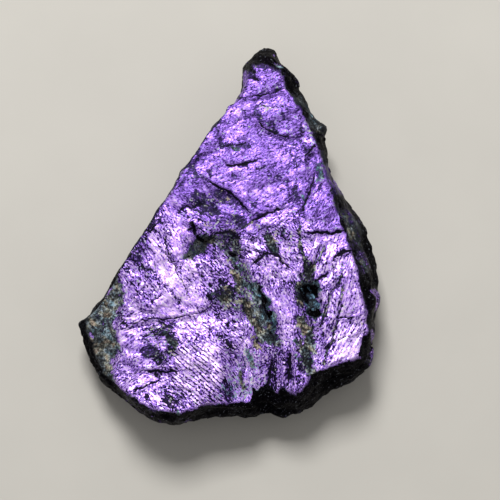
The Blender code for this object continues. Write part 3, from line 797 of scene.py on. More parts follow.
MARKS = (
    # lilac to white plates: partly their own pale colour, partly painted highlight where cleavage plates
    # catch the light
    Marks(tone=0.27, strokes=(
        (3.5, 153, 236, 156, 250), (2.6, 151, 234, 158, 256, 167, 276, 178, 292, 190, 303),
        (2, 163, 244, 171, 264, 181, 281), (4.5, 159, 256, 163, 270, 170, 281), (4, 176, 247, 179, 257),
        (5.5, 177, 284, 183, 296), (4, 192, 293, 200, 301), (3.5, 125, 288, 128, 296),
        (4, 131, 302, 136, 313), (2.5, 170, 296, 174, 304), (2.5, 121, 344, 121, 334, 127, 330, 135, 331),
        (2.5, 137, 336, 135, 344), (3, 131, 319, 138, 320), (3, 126, 367, 129, 371),
        (3, 141, 378, 145, 384), (2.5, 151, 373, 154, 377), (4, 154, 400, 162, 406),
        (6, 206, 352, 212, 366), (5, 194, 312, 198, 318), (3, 202, 325, 205, 329),
        (3.5, 264, 221, 269, 224), (3, 303, 222, 306, 229), (3.5, 287, 245, 289, 252),
        (3, 282, 257, 288, 261), (2.5, 257, 244, 259, 248), (3, 337, 235, 343, 236),
        (3.2, 340, 261, 342, 266), (3, 331, 284, 334, 293), (2.5, 345, 272, 347, 275),
        (3, 346, 287, 348, 300), (3, 268, 294, 272, 299), (2.5, 266, 273, 269, 276),
        (3, 235, 333, 237, 335), (2, 241, 331, 243, 334), (3, 248, 341, 242, 350), (3, 246, 354, 248, 360),
        (2.5, 263, 360, 266, 357), (6, 341, 341, 348, 350), (4, 353, 336, 357, 346),
        (3.5, 216, 357, 219, 372), (4, 342, 352, 352, 356), (2.5, 237, 112, 240, 115),
        (2.5, 170, 199, 174, 202), (2, 204, 188, 206, 192), (2, 254, 189, 257, 191),
        (2, 269, 189, 271, 191))),
    # light plates: partly lighter purple, partly painted highlight where plates face the light
    Marks(tone=0.13, strokes=(
        (6, 173, 234, 184, 258), (4, 183, 227, 188, 240), (5, 160, 268, 172, 280), (7, 190, 268, 196, 280),
        (6, 158, 309, 182, 314), (4, 205, 270, 211, 279), (2.5, 121, 270, 124, 281),
        (3.5, 246, 228, 250, 230), (4.5, 247, 242, 256, 246), (4, 248, 265, 254, 280),
        (3, 210, 250, 209, 258), (2.5, 226, 305, 227, 308), (5, 122, 350, 134, 356),
        (3, 117, 326, 120, 332), (4.5, 140, 360, 148, 368), (5, 147, 390, 158, 398),
        (6, 182, 355, 202, 370), (5, 202, 341, 210, 348), (6, 180, 318, 198, 328),
        (2.5, 148, 332, 150, 333), (2.8, 151, 337, 154, 343), (3, 163, 343, 166, 349),
        (4, 214, 378, 220, 385), (2.5, 187, 404, 189, 407), (3, 309, 217, 315, 222),
        (2, 284, 220, 286, 227), (2, 275, 219, 277, 225), (3.5, 249, 229, 260, 232),
        (2, 242, 237, 244, 239), (3.5, 249, 251, 255, 257), (2.5, 281, 239, 282, 246),
        (5, 285, 243, 287, 258), (2, 296, 232, 297, 246), (5, 308, 240, 324, 240),
        (4.5, 309, 250, 314, 259), (5, 326, 246, 334, 258), (4, 350, 262, 355, 270),
        (2, 301, 241, 302, 247), (2.5, 299, 256, 301, 270), (3.5, 319, 286, 322, 298),
        (3.5, 325, 262, 329, 280), (5, 350, 284, 356, 302), (4, 332, 300, 329, 312),
        (5, 270, 260, 280, 266), (5, 283, 270, 288, 277), (4, 284, 294, 290, 300), (7, 275, 306, 288, 312),
        (3, 318, 268, 321, 276), (4, 345, 300, 347, 316), (3.5, 223, 317, 226, 320),
        (4, 216, 324, 221, 331), (3.5, 251, 352, 255, 358), (3.5, 268, 353, 271, 356),
        (6, 282, 322, 290, 330), (2.5, 271, 322, 275, 327), (2.5, 281, 336, 285, 344),
        (2.5, 285, 346, 292, 348), (3.5, 314, 322, 318, 332), (3.5, 322, 329, 328, 336),
        (3, 314, 352, 316, 358), (3, 314, 361, 316, 368), (8, 340, 326, 350, 345), (4, 355, 320, 359, 330),
        (4, 248, 374, 256, 392), (3, 249, 390, 252, 398), (2.5, 263, 382, 265, 388),
        (2.2, 292, 385, 296, 390), (3, 269, 72, 271, 88), (4, 256, 67, 260, 74), (3, 251, 79, 258, 84),
        (4, 286, 92, 291, 97), (6, 226, 112, 238, 120), (6, 224, 128, 238, 132), (4, 207, 133, 213, 138),
        (4, 236, 102, 248, 106), (5, 233, 168, 246, 178), (5, 240, 188, 262, 196), (3, 201, 182, 206, 190),
        (4, 168, 196, 178, 203), (4, 160, 204, 168, 210), (3, 189, 208, 194, 218), (3, 218, 206, 226, 208),
        (2.5, 229, 211, 232, 213), (4, 313, 191, 318, 198), (3, 323, 180, 326, 188),
        (4, 270, 201, 279, 210), (4, 171, 214, 178, 224), (2.5, 312, 154, 315, 158),
        (3, 246, 206, 250, 211))),
    # deep violet places
    Marks(tone=-0.1, strokes=(
        (5, 208, 288, 222, 298),
        (4, 243, 88, 230, 110, 212, 132, 197, 156, 180, 180, 165, 204, 149, 230, 134, 253),
        (6, 133, 240, 140, 250), (5, 129, 281, 138, 289), (4, 196, 280, 199, 287), (5, 206, 246, 212, 258),
        (3, 131, 336, 132, 339), (3, 134, 371, 139, 375), (5, 112, 362, 122, 374), (4, 143, 330, 152, 342),
        (3, 186, 326, 191, 331), (2.5, 214, 393, 216, 396), (4, 162, 388, 166, 398),
        (4, 322, 218, 328, 226), (4, 331, 218, 337, 228), (3, 288, 234, 292, 240),
        (2.5, 345, 250, 348, 254), (3, 304, 250, 306, 257), (3, 301, 272, 303, 279),
        (4, 350, 276, 358, 282), (4, 286, 284, 294, 290), (4, 352, 303, 361, 312), (3, 322, 240, 326, 262),
        (3, 241, 337, 245, 342), (3, 219, 334, 223, 340), (3, 229, 331, 233, 337), (4, 264, 346, 268, 352),
        (5, 272, 351, 288, 358), (4, 350, 319, 357, 329), (4, 361, 323, 365, 337), (5, 320, 341, 327, 349),
        (3, 289, 384, 298, 394), (2.5, 299, 381, 302, 388), (3, 277, 384, 283, 390), (3, 263, 69, 266, 76),
        (5, 258, 168, 275, 176), (4, 278, 177, 285, 182), (5, 287, 190, 298, 204), (6, 184, 162, 198, 178),
        (4, 302, 128, 311, 138), (3, 240, 203, 245, 210), (3, 219, 120, 222, 140), (3, 215, 132, 221, 145),
        (4, 264, 286, 279, 288))),
    # dark places
    Marks(tone=-0.24, strokes=(
        (4.5, 132, 257, 139, 258), (3.5, 140, 264, 141, 269), (4, 148, 270, 153, 276),
        (2.5, 127, 267, 128, 273), (3, 152, 223, 154, 229), (3, 158, 284, 169, 292),
        (2, 172, 292, 180, 302), (1.8, 180, 301, 181, 304), (2.2, 202, 273, 203, 276),
        (2, 189, 281, 190, 283), (2, 214, 243, 215, 253), (3, 250, 238, 252, 239),
        (2.5, 241, 256, 244, 259), (3.5, 255, 259, 259, 264), (5, 224, 284, 230, 294),
        (3.5, 120, 313, 123, 321), (4, 150, 328, 158, 334), (3.5, 161, 321, 173, 325),
        (6, 166, 331, 176, 346), (4, 168, 349, 172, 355), (3.5, 144, 350, 146, 355),
        (5, 151, 348, 158, 356), (5, 158, 360, 164, 365), (5, 168, 388, 174, 399),
        (3.5, 166, 403, 171, 410), (2.5, 147, 395, 149, 397), (3, 181, 395, 185, 397),
        (3, 209, 396, 213, 400), (2, 182, 406, 183, 408), (2.5, 198, 336, 200, 339),
        (2.5, 218, 334, 219, 337), (2.8, 227, 344, 230, 347), (4, 206, 368, 213, 372),
        (5, 225, 383, 231, 397), (5, 268, 237, 275, 252), (3, 283, 229, 285, 239),
        (2.5, 255, 249, 258, 250), (4, 308, 259, 310, 268), (4, 307, 264, 310, 280),
        (2, 321, 264, 324, 269), (2.2, 326, 273, 316, 282), (2, 352, 294, 355, 292),
        (2.5, 273, 262, 276, 264), (2, 272, 271, 275, 272), (3, 285, 281, 292, 282),
        (3, 294, 303, 300, 305), (4, 297, 284, 301, 300), (3.5, 338, 250, 350, 254),
        (3, 258, 250, 268, 255), (4, 216, 311, 221, 317), (3, 273, 360, 275, 372), (3, 289, 362, 291, 378),
        (3, 270, 374, 274, 380), (4, 268, 385, 273, 389), (2, 285, 384, 287, 392), (4, 268, 336, 274, 338),
        (3, 298, 363, 301, 369), (2, 322, 334, 324, 336), (3, 345, 319, 352, 324), (3.5, 249, 67, 252, 74),
        (2.5, 254, 64, 259, 66), (2, 232, 97, 245, 99), (2, 241, 110, 245, 111), (3, 256, 111, 260, 118),
        (3, 271, 123, 276, 132), (2, 282, 113, 284, 119), (3, 223, 145, 232, 147), (3, 239, 145, 249, 147),
        (3, 193, 171, 197, 177), (5, 219, 194, 231, 201), (6, 198, 197, 212, 212), (4, 236, 217, 244, 226),
        (2, 253, 204, 256, 206), (3, 306, 150, 315, 158), (3, 294, 188, 298, 198),
        (1.5, 232, 174, 235, 177), (1.8, 252, 63, 262, 64))),
    # black spots
    Marks(soot_and_shade=0.5, tone=-0.2, strokes=(
        (3, 192, 224, 194, 230), (2.5, 198, 237, 201, 239), (1.8, 230, 253, 234, 255),
        (2, 235, 267, 237, 269), (2.5, 208, 296, 211, 299), (1.4, 159, 236, 161, 237),
        (2.2, 123, 322, 126, 325), (2, 156, 373, 159, 379), (1.8, 227, 323, 228, 327),
        (4, 306, 288, 314, 289), (2.5, 315, 291, 316, 296), (2.5, 304, 293, 307, 301),
        (3.2, 311, 312, 319, 312), (1.5, 297, 287, 301, 292), (2.5, 258, 288, 264, 302, 270, 316),
        # the strokes along the lower left edge, from (82, 322) to (120, 395), are painted shadow under that
        # edge
        (2, 209, 171, 212, 175), (2, 216, 211, 219, 214), (3, 82, 322, 84, 344), (5, 90, 362, 98, 378),
        (6, 104, 385, 120, 395), (2, 271, 333, 273, 339))),
    # blue-green crust
    Marks(crust=0.7, hue=0.8, tone=0.02, soot_and_shade=-0.4, strokes=(
        (2, 232, 258, 234, 261), (2, 239, 266, 242, 269), (3.5, 252, 286, 258, 296),
        (2.5, 242, 282, 247, 285), (2, 177, 411, 179, 415), (3, 107, 331, 110, 339),
        (2.5, 112, 303, 115, 306), (2, 109, 351, 111, 353), (3, 259, 328, 262, 331),
        (2, 294, 341, 297, 343), (1.8, 321, 173, 323, 177), (2, 233, 148, 238, 149),
        (1.5, 303, 196, 305, 204), (2, 268, 388, 272, 391), (2, 365, 344, 367, 346))),
    Marks(crust=0.7, hue=0.55, tone=0.08, soot_and_shade=-0.4, strokes=(
        (2.5, 254, 299, 257, 302), (4, 257, 310, 262, 318), (2.5, 296, 356, 300, 360),
        (2, 94, 331, 96, 332), (2.5, 247, 350, 253, 366), (2, 237, 281, 241, 284))),
    # blue crystals in the pit, lightened as painted highlights where they catch the light
    Marks(crust=0.9, hue=1.0, tone=0.26, soot_and_shade=-1.1, strokes=(
        (1.8, 311, 295, 314, 299), (2.2, 315, 301, 319, 306), (1.3, 309, 287, 311, 290),
        (1.2, 306, 304, 308, 308), (1.2, 313, 309, 315, 310), (1.2, 302, 290, 303, 293),
        (1.3, 266, 304, 268, 309), (1.2, 272, 316, 273, 321))),
    # olive and brown crust
    Marks(crust=0.7, hue=0.15, tone=0.02, soot_and_shade=-0.3, strokes=(
        (3.5, 233, 273, 239, 281), (2.5, 237, 287, 239, 291), (3.5, 97, 346, 102, 351),
        (5, 256, 322, 262, 334), (2, 240, 372, 243, 388), (5, 300, 322, 306, 331), (3, 222, 296, 228, 300),
        (3, 88, 318, 94, 324))),
    Marks(crust=0.4, hue=0.0, tone=-0.02, strokes=(
        (2, 246, 306, 250, 318), (1.6, 226, 288, 230, 292), (1.5, 268, 322, 270, 330),
        (2, 93, 350, 97, 358), (1.6, 104, 300, 107, 306), (2, 255, 345, 262, 352),
        (1.6, 301, 340, 303, 350))),
    Marks(crust=0.5, hue=0.0, tone=-0.06, strokes=(
        (2.2, 106, 314, 109, 315), (4, 101, 357, 108, 369), (4, 252, 337, 257, 344),
        (2, 100, 343, 107, 341, 115, 344), (3, 244, 300, 250, 312), (3, 205, 243, 212, 241))),
    # grooves
    Marks(crust=0.46, hue=0.3, tone=-0.3, strokes=(
        (1.6, 326, 246, 320, 258, 313, 268, 308, 276), (1.8, 299, 226, 300, 244, 304, 260, 307, 276),
        (1.4, 262, 215, 252, 222, 243, 228), (1.4, 313, 326, 308, 338, 306, 350),
        (1.7, 343, 285, 341, 302, 338, 318, 333, 335, 328, 350, 323, 364),
        (1.6, 344, 264, 341, 275, 336, 288, 330, 298, 326, 312, 321, 326))),
    # the dark left edge: painted shadow, a thin black line along the rim
    Marks(soot_and_shade=0.42, tone=-0.3, strokes=(
        (1.6, 242, 84, 238, 96, 227, 108, 219, 120, 208, 132, 201, 144, 193, 156, 183, 168, 176, 180, 169,
        192, 161, 204, 153, 216, 146, 228, 138, 240, 130, 252, 123, 264, 115, 276, 109, 288),)),
    # crust down the left corner
    Marks(soot_and_shade=-0.5, crust=0.4, hue=0.25, tone=0.1, strokes=((6, 99, 350, 104, 362, 110, 374),)),
    # dull grey crust
    Marks(crust=0.55, hue=0.5, tone=-0.1, strokes=(
        (4, 309, 334, 313, 350), (4, 305, 352, 309, 364), (4, 308, 363, 312, 371), (4, 268, 238, 275, 252),
        (4, 262, 337, 278, 342), (3, 164, 332, 174, 344))),
    # purple slivers in the crust
    Marks(crust=-1.0, soot_and_shade=-0.6, tone=0.02, strokes=(
        (2, 90, 335, 92, 337), (2, 86, 314, 94, 309), (1.6, 105, 296, 110, 288))),
    # white glints: painted highlights, sparkles off tiny facets
    Marks(crust=0.5, hue=0.5, tone=0.8, soot_and_shade=-0.8, strokes=(
        (1.2, 260, 107, 261, 107), (1.2, 264, 106, 266, 107), (1.2, 269, 107, 271, 108),
        (1.2, 275, 108, 276, 108), (1.2, 295, 118, 297, 119), (1.2, 304, 126, 306, 129),
        (1.1, 285, 131, 287, 131), (1.1, 290, 130, 291, 129), (1.1, 303, 138, 305, 140),
        (1.1, 312, 140, 315, 142), (1.2, 263, 395, 265, 397), (1.2, 262, 56, 264, 57),
        (1.2, 273, 57, 275, 58), (1.2, 278, 65, 280, 66))),
    # the walls: black, brown and grey places, light streaks and purple flecks
    # painted shade: the black along the bottom and lower right walls and beside the chip on the right, where
    # these walls lay in shadow; the tip cap and the right wall are black of their own
    Marks(soot_and_shade=0.5, tone=-0.2, strokes=(
        (5, 252, 57, 262, 54, 276, 56), (4, 291, 80, 298, 91), (4, 320, 136, 325, 148),
        (4, 366, 225, 374, 262, 377, 288), (4, 362, 282, 369, 298), (8, 305, 398, 330, 385, 362, 368),
        (8, 200, 415, 240, 412, 290, 405))),
    Marks(soot_and_shade=0.2, crust=0.4, hue=1.0, tone=-0.1, strokes=(
        (3, 284, 68, 292, 71), (3, 330, 160, 334, 175))),
    Marks(soot_and_shade=-0.35, crust=0.5, hue=0.5, tone=0.04, strokes=(
        (5, 302, 97, 315, 118), (6, 315, 122, 324, 130), (2, 343, 212, 350, 232), (2.5, 351, 227, 362, 248),
        (2.5, 362, 262, 368, 270), (1.5, 345, 224, 352, 240), (1.5, 356, 222, 363, 236))),
    Marks(soot_and_shade=-0.2, crust=0.5, hue=0.0, tone=-0.22, strokes=(
        (2, 322, 384, 335, 370), (2, 330, 388, 345, 372), (2.2, 345, 376, 358, 366))),
    Marks(soot_and_shade=-0.9, crust=-1.2, tone=0.0, strokes=(
        (3, 373, 291, 378, 308), (2, 372, 331, 374, 350), (1.4, 232, 409, 238, 411),
        (1.4, 266, 405, 270, 407), (3, 328, 168, 337, 192))),
)

NUDGES = (
    Nudge((264, 50), 24.0, (0.0, -4.5)),
    Nudge((226, 104), 9.0, (-2.5, -1.5)),
    Nudge((377, 300), 14.0, (3.0, 0.0)),
    Nudge((78, 322), 10.0, (-2.5, 0.0)),
)


FLAKES = (
    Flakes((8.0, 3.6), 0.42, 40),
    Flakes((24.0, 11.0), 1.0, 10),
)

COATS = (
    Coat(Layer.TONE, -0.18, (Grain(3.0, 0.15, 320), Grain(1.2, 0.075, 321))),
    Coat(Layer.CRUST, 0.55, (Grain(2.2, 0.45, 322),)),
    Coat(Layer.CRUST_HUE, 0.0, (Grain(2.8, 0.35, 323),)),
    Coat(Layer.SOOT_AND_SHADE, 0.62, (Grain(1.8, 0.35, 324),)),
)


@dataclass
class Stone:
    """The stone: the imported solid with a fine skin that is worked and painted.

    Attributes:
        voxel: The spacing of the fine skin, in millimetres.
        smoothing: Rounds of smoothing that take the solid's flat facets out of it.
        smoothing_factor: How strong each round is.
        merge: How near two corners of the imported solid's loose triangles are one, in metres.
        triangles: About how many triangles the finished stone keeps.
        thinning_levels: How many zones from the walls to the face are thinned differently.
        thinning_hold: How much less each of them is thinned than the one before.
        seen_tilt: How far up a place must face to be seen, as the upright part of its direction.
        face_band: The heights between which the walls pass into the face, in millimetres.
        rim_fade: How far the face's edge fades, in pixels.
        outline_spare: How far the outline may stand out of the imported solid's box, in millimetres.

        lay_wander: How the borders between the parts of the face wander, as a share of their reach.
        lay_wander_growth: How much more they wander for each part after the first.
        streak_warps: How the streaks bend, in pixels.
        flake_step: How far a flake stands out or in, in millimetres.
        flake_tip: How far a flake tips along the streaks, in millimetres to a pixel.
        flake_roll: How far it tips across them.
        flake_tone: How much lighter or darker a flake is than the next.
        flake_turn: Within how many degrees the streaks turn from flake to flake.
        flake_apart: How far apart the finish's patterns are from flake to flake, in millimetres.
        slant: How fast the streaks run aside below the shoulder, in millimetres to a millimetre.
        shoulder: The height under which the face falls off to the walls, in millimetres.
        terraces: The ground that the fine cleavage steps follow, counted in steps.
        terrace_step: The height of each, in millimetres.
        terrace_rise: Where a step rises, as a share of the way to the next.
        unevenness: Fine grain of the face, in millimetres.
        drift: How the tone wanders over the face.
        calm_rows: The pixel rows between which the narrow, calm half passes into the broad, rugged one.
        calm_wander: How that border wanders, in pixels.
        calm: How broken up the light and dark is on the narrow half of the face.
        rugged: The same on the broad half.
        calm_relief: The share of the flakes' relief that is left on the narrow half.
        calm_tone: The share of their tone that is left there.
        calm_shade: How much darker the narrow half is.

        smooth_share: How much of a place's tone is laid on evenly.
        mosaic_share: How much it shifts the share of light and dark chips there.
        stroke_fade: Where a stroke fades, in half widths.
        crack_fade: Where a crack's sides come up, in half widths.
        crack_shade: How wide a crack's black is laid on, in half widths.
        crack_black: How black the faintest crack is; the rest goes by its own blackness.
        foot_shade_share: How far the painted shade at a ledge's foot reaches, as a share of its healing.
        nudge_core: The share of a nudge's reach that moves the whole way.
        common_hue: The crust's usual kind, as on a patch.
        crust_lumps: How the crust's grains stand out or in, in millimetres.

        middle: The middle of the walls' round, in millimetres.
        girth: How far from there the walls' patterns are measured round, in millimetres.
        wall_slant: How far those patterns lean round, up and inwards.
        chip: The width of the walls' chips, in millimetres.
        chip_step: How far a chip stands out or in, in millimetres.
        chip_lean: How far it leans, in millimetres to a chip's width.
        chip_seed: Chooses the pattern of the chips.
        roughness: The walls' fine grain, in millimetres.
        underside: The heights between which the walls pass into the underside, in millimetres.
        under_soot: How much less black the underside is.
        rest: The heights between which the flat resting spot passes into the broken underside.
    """

    voxel: float = 0.125
    quick_voxel: float = 0.2
    smoothing: int = 16
    smoothing_factor: float = 0.5
    merge: float = 1e-7
    triangles: int = 192000
    thinning_levels: int = 4
    thinning_hold: float = 0.15
    seen_tilt: tuple[float, float] = (-0.25, 0.0)
    face_band: tuple[float, float] = (5.4, 6.4)
    rim_fade: float = 1.2
    outline_spare: float = 0.5

    lay_wander: tuple[Grain, ...] = (Grain(22.0, 0.55, 5), Grain(7.0, 0.25, 6))
    lay_wander_growth: float = 0.1
    streak_warps: tuple[Warp, ...] = (Warp(9.0, 0.6, 0.42, 7), Warp(3.0, 0.2, 0.2, 17))
    flake_step: float = 0.035
    flake_tip: float = 0.007
    flake_roll: float = 0.0091
    flake_tone: float = 0.055
    flake_turn: float = 11.0
    flake_apart: float = 10.0
    slant: float = 0.9
    shoulder: float = 8.0
    terraces: tuple[Grain, ...] = (Grain((26.0, 7.5), 2.6, 70), Grain((10.0, 3.0), 1.3, 90))
    terrace_step: float = 0.028
    terrace_rise: tuple[float, float] = (0.75, 1.0)
    unevenness: Grain = Grain(3.0, 0.012, 130)
    drift: tuple[Grain, ...] = (Grain(14.0, 0.035, 131), Grain(5.0, 0.03, 132))
    calm_rows: tuple[float, float] = (205.0, 255.0)
    calm_wander: Grain = Grain(30.0, 18.0, 133)
    calm: float = 0.4
    rugged: float = 1.1
    calm_relief: float = 0.2
    calm_tone: float = 0.4
    calm_shade: float = 0.025

    smooth_share: float = 0.45
    mosaic_share: float = 1.3
    stroke_fade: tuple[float, float] = (0.5, 1.4)
    crack_fade: tuple[float, float] = (0.2, 1.3)
    crack_shade: float = 2.2
    crack_black: float = 0.5
    foot_shade_share: float = 0.5
    nudge_core: float = 0.2
    common_hue: float = 0.4
    crust_lumps: tuple[Grain, ...] = (Grain(4.0, 0.042, 140), Grain(2.0, 0.03, 141))

    middle: tuple[float, float] = (0.0, -2.0)
    girth: float = 18.0
    wall_slant: tuple[float, float, float] = (0.8, 0.5, 3.0)
    chip: float = 1.1
    chip_step: float = 0.05
    chip_lean: float = 0.10
    chip_seed: int = 301
    roughness: tuple[Grain, ...] = (Grain(0.9, 0.045, 310), Grain(0.4, 0.025, 311))
    underside: tuple[float, float] = (1.5, 3.0)
    under_soot: float = 0.3
    rest: tuple[float, float] = (0.02, 0.4)

    def build(self, view: Viewpoint) -> bpy.types.Object:
        """Makes the stone and dresses it.

        Args:
            view: Where the photograph was taken from.

        Returns:
            The finished stone.
        """
        stone = self.skin()
        mesh = stone.data
        points = self.read(mesh, "co") / MM
        normals = self.read(mesh, "normal")
        face = Face(view.pixels(points), rising(normals[:, 2], *self.seen_tilt))
        on_face = self.on_face(face, points)
        layers = {layer: np.zeros(len(points)) for layer in Layer}
        layers[Layer.CRUST_HUE] += self.common_hue
        streaks = np.zeros((len(points), 3))
        heights = self.flakes(face, layers, streaks, view.scale) + self.features(face, layers)
        streaks[:, :2] += self.slant * np.minimum(points[:, 2:] - self.shoulder, 0.0)
        moved = points + normals * self.broken_walls(points, layers, streaks, on_face)[:, None]
        moved[:, 2] += heights * on_face
        moved[:, :2] += self.nudged(face, view.scale)
        mesh.vertices.foreach_set("co", (self.kept_in_box(moved) * MM).ravel())
        for layer, values in layers.items():
            mesh.attributes.new(layer.value, "FLOAT", "POINT").data.foreach_set("value", values)
        mesh.attributes.new("streaks", "FLOAT_VECTOR", "POINT").data.foreach_set("vector", streaks.ravel())
        self.thin(stone, on_face)
        mesh = stone.data
        mesh.shade_smooth()
        mesh.materials.append(StoneFinish().material())
        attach(stone, "root")
        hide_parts("purpurite")
        return stone

    def skin(self) -> bpy.types.Object:
        """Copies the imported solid, merges its loose triangles and gives it a fine, even skin."""
        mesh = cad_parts["purpurite"].data.copy()
        mesh.name = "purpurite_stone"
        work = bmesh.new()
        work.from_mesh(mesh)
        bmesh.ops.remove_doubles(work, verts=work.verts, dist=self.merge)
        work.to_mesh(mesh)
        work.free()
        mesh.materials.clear()
        stone = bpy.data.objects.new("purpurite_stone", mesh)
        bpy.context.scene.collection.objects.link(stone)
        voxel = self.voxel
        self.applied(stone, "REMESH", mode="VOXEL", voxel_size=voxel * MM)
        self.applied(stone, "SMOOTH", factor=self.smoothing_factor, iterations=self.smoothing)
        return stone

    def applied(self, piece: bpy.types.Object, kind: str, **settings: object) -> None:
        """Puts one modifier on a piece and keeps its result.

        Args:
            piece: The piece to change.
            kind: The modifier's kind.
            settings: The modifier's own settings.
        """
        modifier = piece.modifiers.new(kind.lower(), kind)
        for name, value in settings.items():
            setattr(modifier, name, value)
        graph = bpy.context.evaluated_depsgraph_get()
        mesh = bpy.data.meshes.new_from_object(piece.evaluated_get(graph), preserve_all_data_layers=True,
                                               depsgraph=graph)
        piece.modifiers.clear()
        old = piece.data
        name = old.name
        piece.data = mesh
        bpy.data.meshes.remove(old)
        mesh.name = name

    def read(self, mesh: bpy.types.Mesh, what: str) -> np.ndarray:
        """Reads the places or the normals of a mesh's points, a row each."""
        values = np.empty(len(mesh.vertices) * 3)
        mesh.vertices.foreach_get(what, values)
        return values.reshape(-1, 3)

    def on_face(self, face: Face, points: np.ndarray) -> np.ndarray:
        """How far each point belongs to the cleavage face, from 0 to 1."""
        chosen, share = face.within(RIM, self.rim_fade, face.ragged)
        inside = np.zeros(len(points))
        inside[chosen] = share
        return inside * rising(points[:, 2], *self.face_band)

    def flakes(self, face: Face, layers: Layers, streaks: np.ndarray, scale: float) -> np.ndarray:
        """Lays the cleavage flakes and streaks, each part of the face in its own direction.

        Args:
            face: The points as the photograph shows them.
            layers: What is laid on the points; the tone, the terraces and how broken it is are added to.
            streaks: Where each point lies along and across its flake, in millimetres; filled in here.
            scale: Millimetres to a pixel.

        Returns:
            How high each point stands, in millimetres.
        """
        spots = face.spots
        heights = np.zeros(len(spots))
        owner = self.owners(spots)
        for number, lay in enumerate(LAYS):
            chosen = np.flatnonzero(owner == number)
            if not len(chosen):
                continue
            laid = turned(spots[chosen], lay.degrees)
            for warp in self.streak_warps:
                laid += warp.at(laid)
            for flakes in FLAKES:
                seed = flakes.seed + number
                keys, away = cells(laid / flakes.size, seed)
                away = away * flakes.size
                lift = self.flake_step * flakes.share * swayed(keys, seed + Draw.LIFT)
                tip = self.flake_tip * away[:, 0] * swayed(keys, seed + Draw.TIP)
                roll = self.flake_roll * away[:, 1] * swayed(keys, seed + Draw.ROLL)
                heights[chosen] += lift + tip + roll
                tone = self.flake_tone * flakes.share**0.5
                layers[Layer.TONE][chosen] += tone * swayed(keys, seed + Draw.TONE)
            turns = self.flake_turn * (scattered(keys, seed + Draw.TURN) - 0.5)
            streaks[chosen, :2] = turned(laid, turns) * scale
            streaks[chosen, 2] = self.flake_apart * scattered(keys, seed + Draw.PLACE)
            layers[Layer.TERRACE][chosen] = sum(terrace.at(laid, number) for terrace in self.terraces)
        steps, passed = np.divmod(layers[Layer.TERRACE], 1.0)
        heights += self.terrace_step * (steps + rising(passed, *self.terrace_rise))
        heights += self.unevenness.at(spots)
        rugged = rising(spots[:, 1] + self.calm_wander.at(spots), *self.calm_rows)
        layers[Layer.TONE] += sum(drift.at(spots) for drift in self.drift)
        layers[Layer.TONE] *= self.calm_tone + (1.0 - self.calm_tone) * rugged
        layers[Layer.TONE] -= self.calm_shade * (1.0 - rugged)
        layers[Layer.BROKEN] += self.calm + (self.rugged - self.calm) * rugged
        return heights * (self.calm_relief + (1.0 - self.calm_relief) * rugged)

    def owners(self, spots: np.ndarray) -> np.ndarray:
        """The number of the part of the face that each pixel belongs to."""
        wander = sum(wave.at(spots) for wave in self.lay_wander)
        pull = []
        for number, lay in enumerate(LAYS):
            apart = np.hypot(*(spots - lay.centre).T) / lay.reach
            pull.append(wander * (1.0 + self.lay_wander_growth * number) - apart**2)
        return np.argmax(np.array(pull), axis=0)

    def features(self, face: Face, layers: Layers) -> np.ndarray:
        """Works the patches, marks, ledges and cracks into the face.

        Args:
            face: The points as the photograph shows them.
            layers: What is laid on the points; added to here.

        Returns:
            How high each point stands for them, in millimetres.
        """
        heights = np.zeros(len(face.spots))
        for patch in PATCHES:
            chosen, share = face.within(patch.outline, patch.soft, face.torn)
            self.paint(face, layers, chosen, share, patch)
            layers[Layer.LINES][chosen] += patch.lines * share
            layers[Layer.BROKEN][chosen] *= 1.0 - patch.calm * share
            heights[chosen] -= patch.drop * share
        for marks in MARKS:
            for half_width, *corners in marks.strokes:
                path = tuple(zip(corners[::2], corners[1::2]))
                chosen, distance, _, _ = face.by_line(path, self.stroke_fade[1] * half_width)
                self.paint(face, layers, chosen, fading(distance / half_width, *self.stroke_fade), marks)
        for ledge in LEDGES:
            chosen, distance, side, along = face.by_line(ledge.path, ledge.heal)
            lower = (side > 0.0) * tapered(along)
            heights[chosen] -= ledge.drop * lower * fading(distance, 0.0, ledge.heal)
            # painted shade: black laid at the foot of each step, on its lower side
            foot = fading(distance, 0.0, self.foot_shade_share * ledge.heal)
            layers[Layer.SOOT_AND_SHADE][chosen] += ledge.soot_and_shade * lower * foot
        for crack in CRACKS:
            chosen, distance, _, along = face.by_line(crack.path, self.crack_shade * crack.half_width)
            away = distance / (crack.half_width * tapered(along))
            heights[chosen] -= crack.depth * fading(away, *self.crack_fade)
            black = (self.crack_black + (1.0 - self.crack_black) * crack.soot_and_shade) * (crack.soot_and_shade > 0.0)
            shade = black * np.clip(1.0 - away / self.crack_shade, 0.0, 1.0)
            layers[Layer.CRACKED][chosen] = np.maximum(layers[Layer.CRACKED][chosen], shade)
        lumps = sum(lump.at(face.spots) for lump in self.crust_lumps)
        return heights + np.clip(layers[Layer.CRUST], 0.0, 1.0) * lumps

    def paint(self, face: Face, layers: Layers, chosen: np.ndarray, share: np.ndarray,
              place: Patch | Marks) -> None:
        """Lays the colours of a patch or a mark on the stone.

        Args:
            face: The points as the photograph shows them.
            layers: What is laid on the points; added to here.
            chosen: The points near the place.
            share: How far each of them lies inside it, from 0 to 1.
            place: The patch or the mark.
        """
        share = share * face.seen[chosen]
        layers[Layer.TONE][chosen] += self.smooth_share * place.tone * share
        layers[Layer.MOSAIC][chosen] += self.mosaic_share * place.tone * share
        layers[Layer.CRUST][chosen] += place.crust * share
        layers[Layer.SOOT_AND_SHADE][chosen] += place.soot_and_shade * share
        if place.hue is not None:
            layers[Layer.CRUST_HUE][chosen] += (place.hue - layers[Layer.CRUST_HUE][chosen]) * share

    def nudged(self, face: Face, scale: float) -> np.ndarray:
        """How far each point moves to the right and to the back, in millimetres, with so many to a pixel."""
        moves = np.zeros((len(face.spots), 2))
        for nudge in NUDGES:
            distance = np.hypot(*(face.spots - nudge.centre).T)
            share = fading(distance, self.nudge_core * nudge.reach, nudge.reach)
            moves += share[:, None] * np.array((nudge.move[0], -nudge.move[1])) * scale
        return moves

